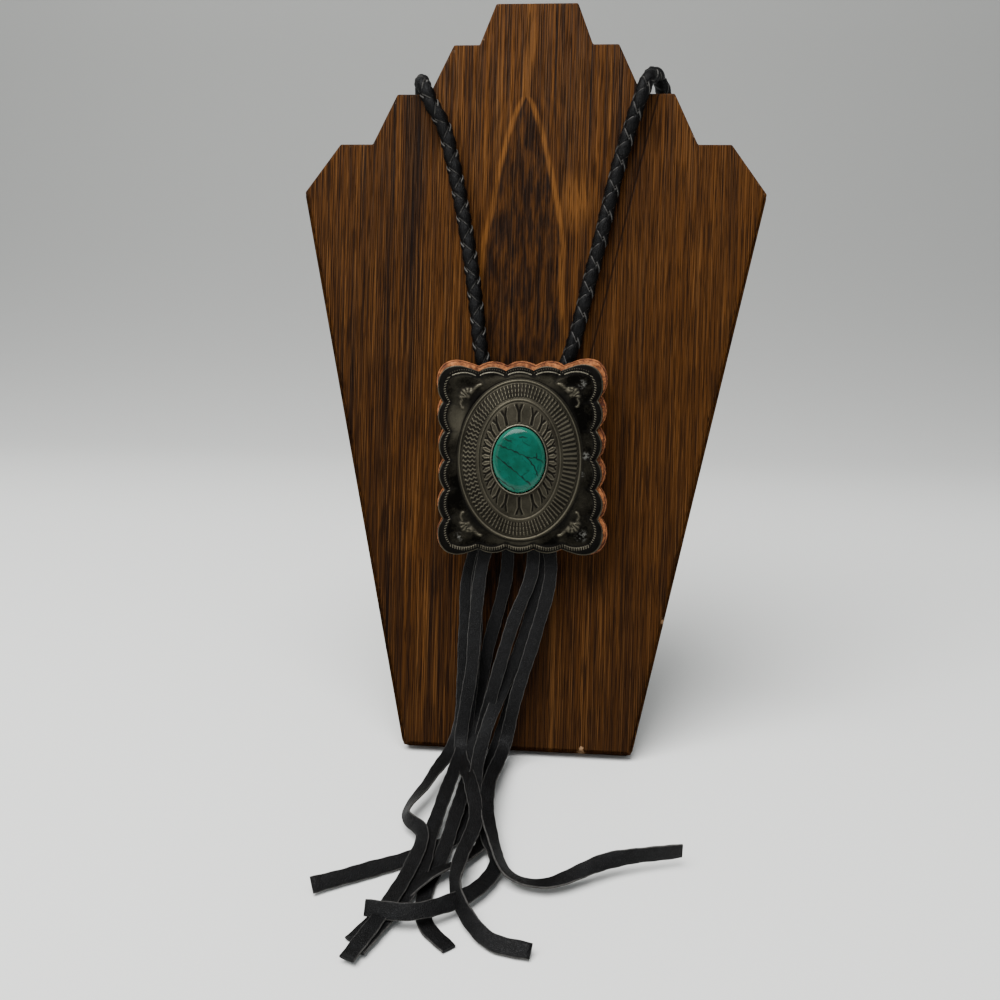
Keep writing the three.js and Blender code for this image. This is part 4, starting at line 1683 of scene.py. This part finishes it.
@dataclass
class Stone:
    """Oval cabochon crossed by the lines of its matrix."""

    board: BoardFrame
    finish: Finish
    rings: int = 110
    sides: int = 260
    girdle: float = 0.42

    # Lines of the matrix, in millimetres from the stone's middle
    veins = (
        ((-8.5, 5.9), (-2.4, 3.6), (3.4, 0.9), (6.0, -2.4), (7.7, -6.2)),
        ((3.4, 0.7), (7.1, 0.6), (7.4, 2.5)),
        ((7.1, 0.6), (9.9, -1.2)),
        ((-9.1, 1.6), (-5.2, -1.8), (-2.2, -4.0), (1.6, -7.4), (4.9, -10.0)),
        ((-9.1, -6.8), (-5.0, -9.8), (-1.6, -11.8)),
        ((-5.4, 8.1), (-2.9, 7.2)),
        ((0.2, 9.0), (3.4, 8.7)),
    )

    def vein_mark(self, x: np.ndarray, y: np.ndarray) -> np.ndarray:
        """How much each point lies on a line of the matrix.

        Args:
            x: Places across the stone in millimetres.
            y: Places up it.

        Returns:
            Values from 0 to 1.
        """
        wander = np.stack([np.sin(y * 3.1 + 1) * 0.14, np.sin(x * 2.7) * 0.16], axis=-1)
        place = np.stack([x, y], axis=-1) + wander
        nearest = np.min([distance_to_line(place, line) for line in self.veins], axis=0)
        return bell(nearest, 0, 0.17 + 0.07 * np.sin(x * 1.9 + y * 1.3))

    def build(self) -> bpy.types.Object:
        """Makes the stone.

        Returns:
            The stone.
        """
        share, angle = rings_and_angles(np.linspace(1, 0.015, self.rings), self.sides)
        wide, high = STONE_HALF
        x, y = share * wide * np.cos(angle), share * high * np.sin(angle)
        dome = self.girdle + (1 - self.girdle) * np.sqrt(1 - share**9)
        upper = np.stack([x, y, dome * STONE_THICK], axis=-1)
        points = np.vstack([upper[:1] * (1, 1, 0), upper])
        # Share of the way out to the rim; the shader paints a highlight along it
        rim = np.hypot(points[..., 0] / wide, points[..., 1] / high)
        marks = {"vein": self.vein_mark(points[..., 0] / MM, points[..., 1] / MM), "rim": rim}
        piece = Piece("stone_cabochon", Part.STONE, Slot.STONE, self.finish)
        place = self.board.slide() @ Matrix.Translation((0, 0, STONE_OUT))
        return piece.make(points.reshape(-1, 3), tube_faces(self.rings + 1, self.sides), marks, place)


@dataclass
class LeatherBacking:
    """Tan leather behind the plate, cut a little larger, with a rough cut edge."""

    board: BoardFrame
    finish: Finish
    seed: int = 7
    roughness: float = 0.24

    # Rings of the edge in millimetres: how far inside the outline, and how high
    layers = (
        (0.5, 0), (0.1, 0.25), (0, 0.8), (0.06, 1.2), (0, 1.6), (0.1, 2.0), (0.06, 2.3),
        (0.3, 2.65), (0.5, 2.9), (0.85, 3.08), (1.2, 3.2),
    )

    def build(self) -> bpy.types.Object:
        """Makes the backing.

        Returns:
            The backing.
        """
        half = SLIDE_HALF + LEATHER_MARGIN
        outline = SlideOutline(half, CONCHO_HALF_HEIGHT + LEATHER_MARGIN, SCALLOP_DEPTH)
        edge = outline.whole()[0]
        random = np.random.default_rng(self.seed)
        outward = unit(edge)
        rings = []
        for inset, z in self.layers:
            rough = np.abs(random.normal(0, self.roughness, len(edge)))
            rough = np.convolve(np.pad(rough, 1, mode="wrap"), [0.25, 0.5, 0.25], "valid")
            place = edge - outward * ((inset + rough) * MM)[:, None]
            rings.append(np.column_stack([place, np.full(len(edge), z * MM)]))
        piece = Piece("leather_back", Part.LEATHER, Slot.TAN, self.finish)
        place = self.board.slide() @ Matrix.Translation((*LEATHER_SHIFT, LEATHER_OUT))
        return piece.make(np.vstack(rings), tube_faces(len(rings), len(edge)), None, place)


@dataclass
class Keeper:
    """Two short tubes, side by side behind the slide, that grip the cord."""

    board: BoardFrame
    finish: Finish
    sides: int = 40

    def build(self) -> bpy.types.Object:
        """Makes the keeper.

        Returns:
            The keeper.
        """
        outer = BORE_RADIUS + KEEPER_WALL
        soft = 0.3 * MM
        profile = [
            (outer - soft, 0), (outer, soft), (outer, KEEPER_LENGTH - soft), (outer - soft, KEEPER_LENGTH),
            (BORE_RADIUS + soft, KEEPER_LENGTH), (BORE_RADIUS, KEEPER_LENGTH - soft), (BORE_RADIUS, soft),
            (BORE_RADIUS + soft, 0), (outer - soft, 0),
        ]
        angle = round_angles(self.sides)
        points, faces = [], []
        for side in (-1, 1):
            faces += tube_faces(len(profile), self.sides, lids=False, first=len(points) * self.sides)
            for radius, up in profile:
                across = SLIDE_ACROSS + side * CORD_HALF_SPACING + radius * np.cos(angle)
                height = np.full(self.sides, SLIDE_UP - KEEPER_LENGTH / 2 + up)
                points.append(np.stack([across, height, CORD_OUT - radius * np.sin(angle)], axis=1))
        piece = Piece("keeper_tubes", Part.KEEPER, Slot.KEEPER, self.finish)
        return piece.make(self.board.points(np.vstack(points)), faces)


# Stand

@dataclass
class Slab:
    """A flat board cut to an outline, with eased edges."""

    outline: list
    thick: float
    ease: float = EDGE_ROUND
    worn: float = 1.6 * MM

    def mesh(self) -> tuple[np.ndarray, list, np.ndarray]:
        """Cuts the slab, with its front face on z = 0.

        Returns:
            The points, the faces and the mark of the worn edges.
        """
        shape = bmesh.new()
        worn = shape.verts.layers.float.new("edge")
        face = shape.faces.new([shape.verts.new((x, y, 0)) for x, y in self.outline])
        back = bmesh.ops.extrude_face_region(shape, geom=[face])
        moved = [v for v in back["geom"] if isinstance(v, bmesh.types.BMVert)]
        bmesh.ops.translate(shape, verts=moved, vec=(0, 0, -self.thick))
        bmesh.ops.recalc_face_normals(shape, faces=shape.faces)
        bmesh.ops.bevel(
            shape, geom=shape.edges[:], offset=self.ease, segments=3, profile=0.6, affect="EDGES",
            clamp_overlap=True,
        )
        for vertex in shape.verts:
            vertex[worn] = 1
        wide = [f for f in shape.faces if f.calc_area() > (4 * self.worn) ** 2]
        bmesh.ops.inset_individual(shape, faces=wide, thickness=self.worn)
        for kept in wide:
            for vertex in kept.verts:
                vertex[worn] = 0
        shape.verts.index_update()
        points = np.array([v.co[:] for v in shape.verts])
        faces = [[v.index for v in f.verts] for f in shape.faces]
        marks = np.array([v[worn] for v in shape.verts])
        shape.free()
        return points, faces, marks


@dataclass
class Stand:
    """Stepped display board and the easel leg behind it."""

    board: BoardFrame
    finish: Finish

    def face_board(self) -> bpy.types.Object:
        """The board, cut from plank.

        Returns:
            The board.
        """
        half = [(across * SHOULDER_HALF, up * BOARD_HEIGHT) for across, up in BOARD_OUTLINE]
        outline = half + [(-across, up) for across, up in reversed(half)]
        points, faces, worn = Slab(outline, BOARD_THICK).mesh()
        piece = Piece("display_board", Part.BOARD, Slot.WOOD, self.finish)
        return piece.make(points, faces, {"edge": worn}, self.board.matrix(), smooth=False)

    def leg(self) -> bpy.types.Object:
        """The leg, its length along its own y axis.

        Returns:
            The leg.
        """
        back = BOARD_THICK + GAP

        def seat(up: float) -> Vector:
            """A place on the back of the board, at a height along it."""
            out = up * math.sin(LEAN) + back * math.cos(LEAN)
            return Vector((0, out, up * math.cos(LEAN) - GAP * math.sin(LEAN)))

        corners = [seat(LEG_TOP), seat(LEG_TOP - LEG_SEAT)]
        corners += [Vector((0, LEG_REACH - LEG_FOOT, 0)), Vector((0, LEG_REACH, 0))]
        foot = (corners[2] + corners[3]) / 2
        along = ((corners[0] + corners[1]) / 2 - foot).normalized()
        third = Vector((-1, 0, 0))
        side = along.cross(third)
        outline = [((corner - foot).dot(side), (corner - foot).dot(along)) for corner in corners]
        points, faces, worn = Slab(outline, LEG_WIDTH).mesh()
        place = Matrix.Translation(foot + Vector((-LEG_WIDTH / 2, self.board.origin.y, 0)))
        turn = Matrix((side, along, third)).transposed().to_4x4()
        piece = Piece("easel_leg", Part.LEG, Slot.WOOD, self.finish)
        return piece.make(points, faces, {"edge": worn}, place @ turn, smooth=False)

    def build(self) -> None:
        """Makes the board and the leg."""
        self.face_board()
        self.leg()


# Studio

@dataclass(frozen=True)
class Lamp:
    """A soft square lamp."""

    name: str
    place: tuple
    aim: tuple
    size: float
    watts: float
    tint: tuple = (1.0, 1.0, 1.0)

    def build(self) -> None:
        """Makes the lamp."""
        data = bpy.data.lights.new(self.name, "AREA")
        data.size = self.size
        data.energy = self.watts
        data.color = self.tint
        turn = (Vector(self.aim) - Vector(self.place)).to_track_quat("-Z", "Y").to_matrix().to_4x4()
        put(self.name, data, Matrix.Translation(self.place) @ turn)


@dataclass
class Studio:
    """Pale sweep, soft lamps and a dim surround."""

    finish: Finish
    half: float = 9.0
    front: float = -3.0
    flat: float = 0.60
    bend: float = 0.45
    top: float = 3.0
    air: tuple = (0.86, 0.90, 0.95, 1.0)
    glow: float = 0.42
    lamps: tuple = (
        Lamp("top_softbox", (-0.3, -0.45, 1.3), (0.0, 0.0, 0.1), 1.1, 38.0),
        Lamp("side_fill", (-1.6, -1.5, 0.9), (0.0, 0.0, 0.1), 1.2, 6.0),
    )

    def sweep(self) -> None:
        """The paper: flat under the stand, then curved up behind it."""
        turn = np.linspace(0, math.pi / 2, 24)
        back = self.flat + self.bend
        curve = zip(self.flat + self.bend * np.sin(turn), self.bend * (1 - np.cos(turn)))
        profile = [(self.front, 0.0), *curve, (back, self.top)]
        points = [(x, y, z) for y, z in profile for x in (-self.half, self.half)]
        faces = [(2 * i, 2 * i + 1, 2 * i + 3, 2 * i + 2) for i in range(len(profile) - 1)]
        mesh = skin("paper_sweep", points, faces, self.finish, smooth=True)
        made = put("paper_sweep", mesh, Matrix.Identity(4))

    def surround(self) -> None:
        """An even pale light from all round."""
        world = bpy.data.worlds.new("studio_air")
        world.use_nodes = True
        shade = world.node_tree.nodes["Background"]
        shade.inputs["Color"].default_value = self.air
        shade.inputs["Strength"].default_value = self.glow
        bpy.context.scene.world = world

    def build(self) -> None:
        """Makes the sweep, the lamps and the surround."""
        self.sweep()
        self.surround()
        for lamp in self.lamps:
            lamp.build()


def main() -> None:
    """Builds the scene in order: camera, cord, fringe, slide, stand and studio."""
    logging.basicConfig(level=logging.INFO, format="%(message)s")
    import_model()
    board = BoardFrame.from_frame()
    # The braid's painted edge highlight is wider and stronger than the laces'
    braid = BlackLeather("braid_leather", rough=0.38, rim=0.82, pale=1.0, shine=0.10)
    strip = BlackLeather("lace_leather")
    wood = StainedWood("stained_plank")
    PhotoCamera().build()
    BraidedCord(board, braid).build()
    Fringe(board, strip).build()
    Concho(board, PatinaMetal("blackened_casting")).build()
    Stone(board, GreenStone("green_turquoise")).build()
    LeatherBacking(board, RawLeather("tan_sole_leather")).build()
    Keeper(board, DullPlate("dull_plate")).build()
    Stand(board, wood).build()
    Studio(PalePaper("pale_paper")).build()


if __name__ == "__main__":
    main()
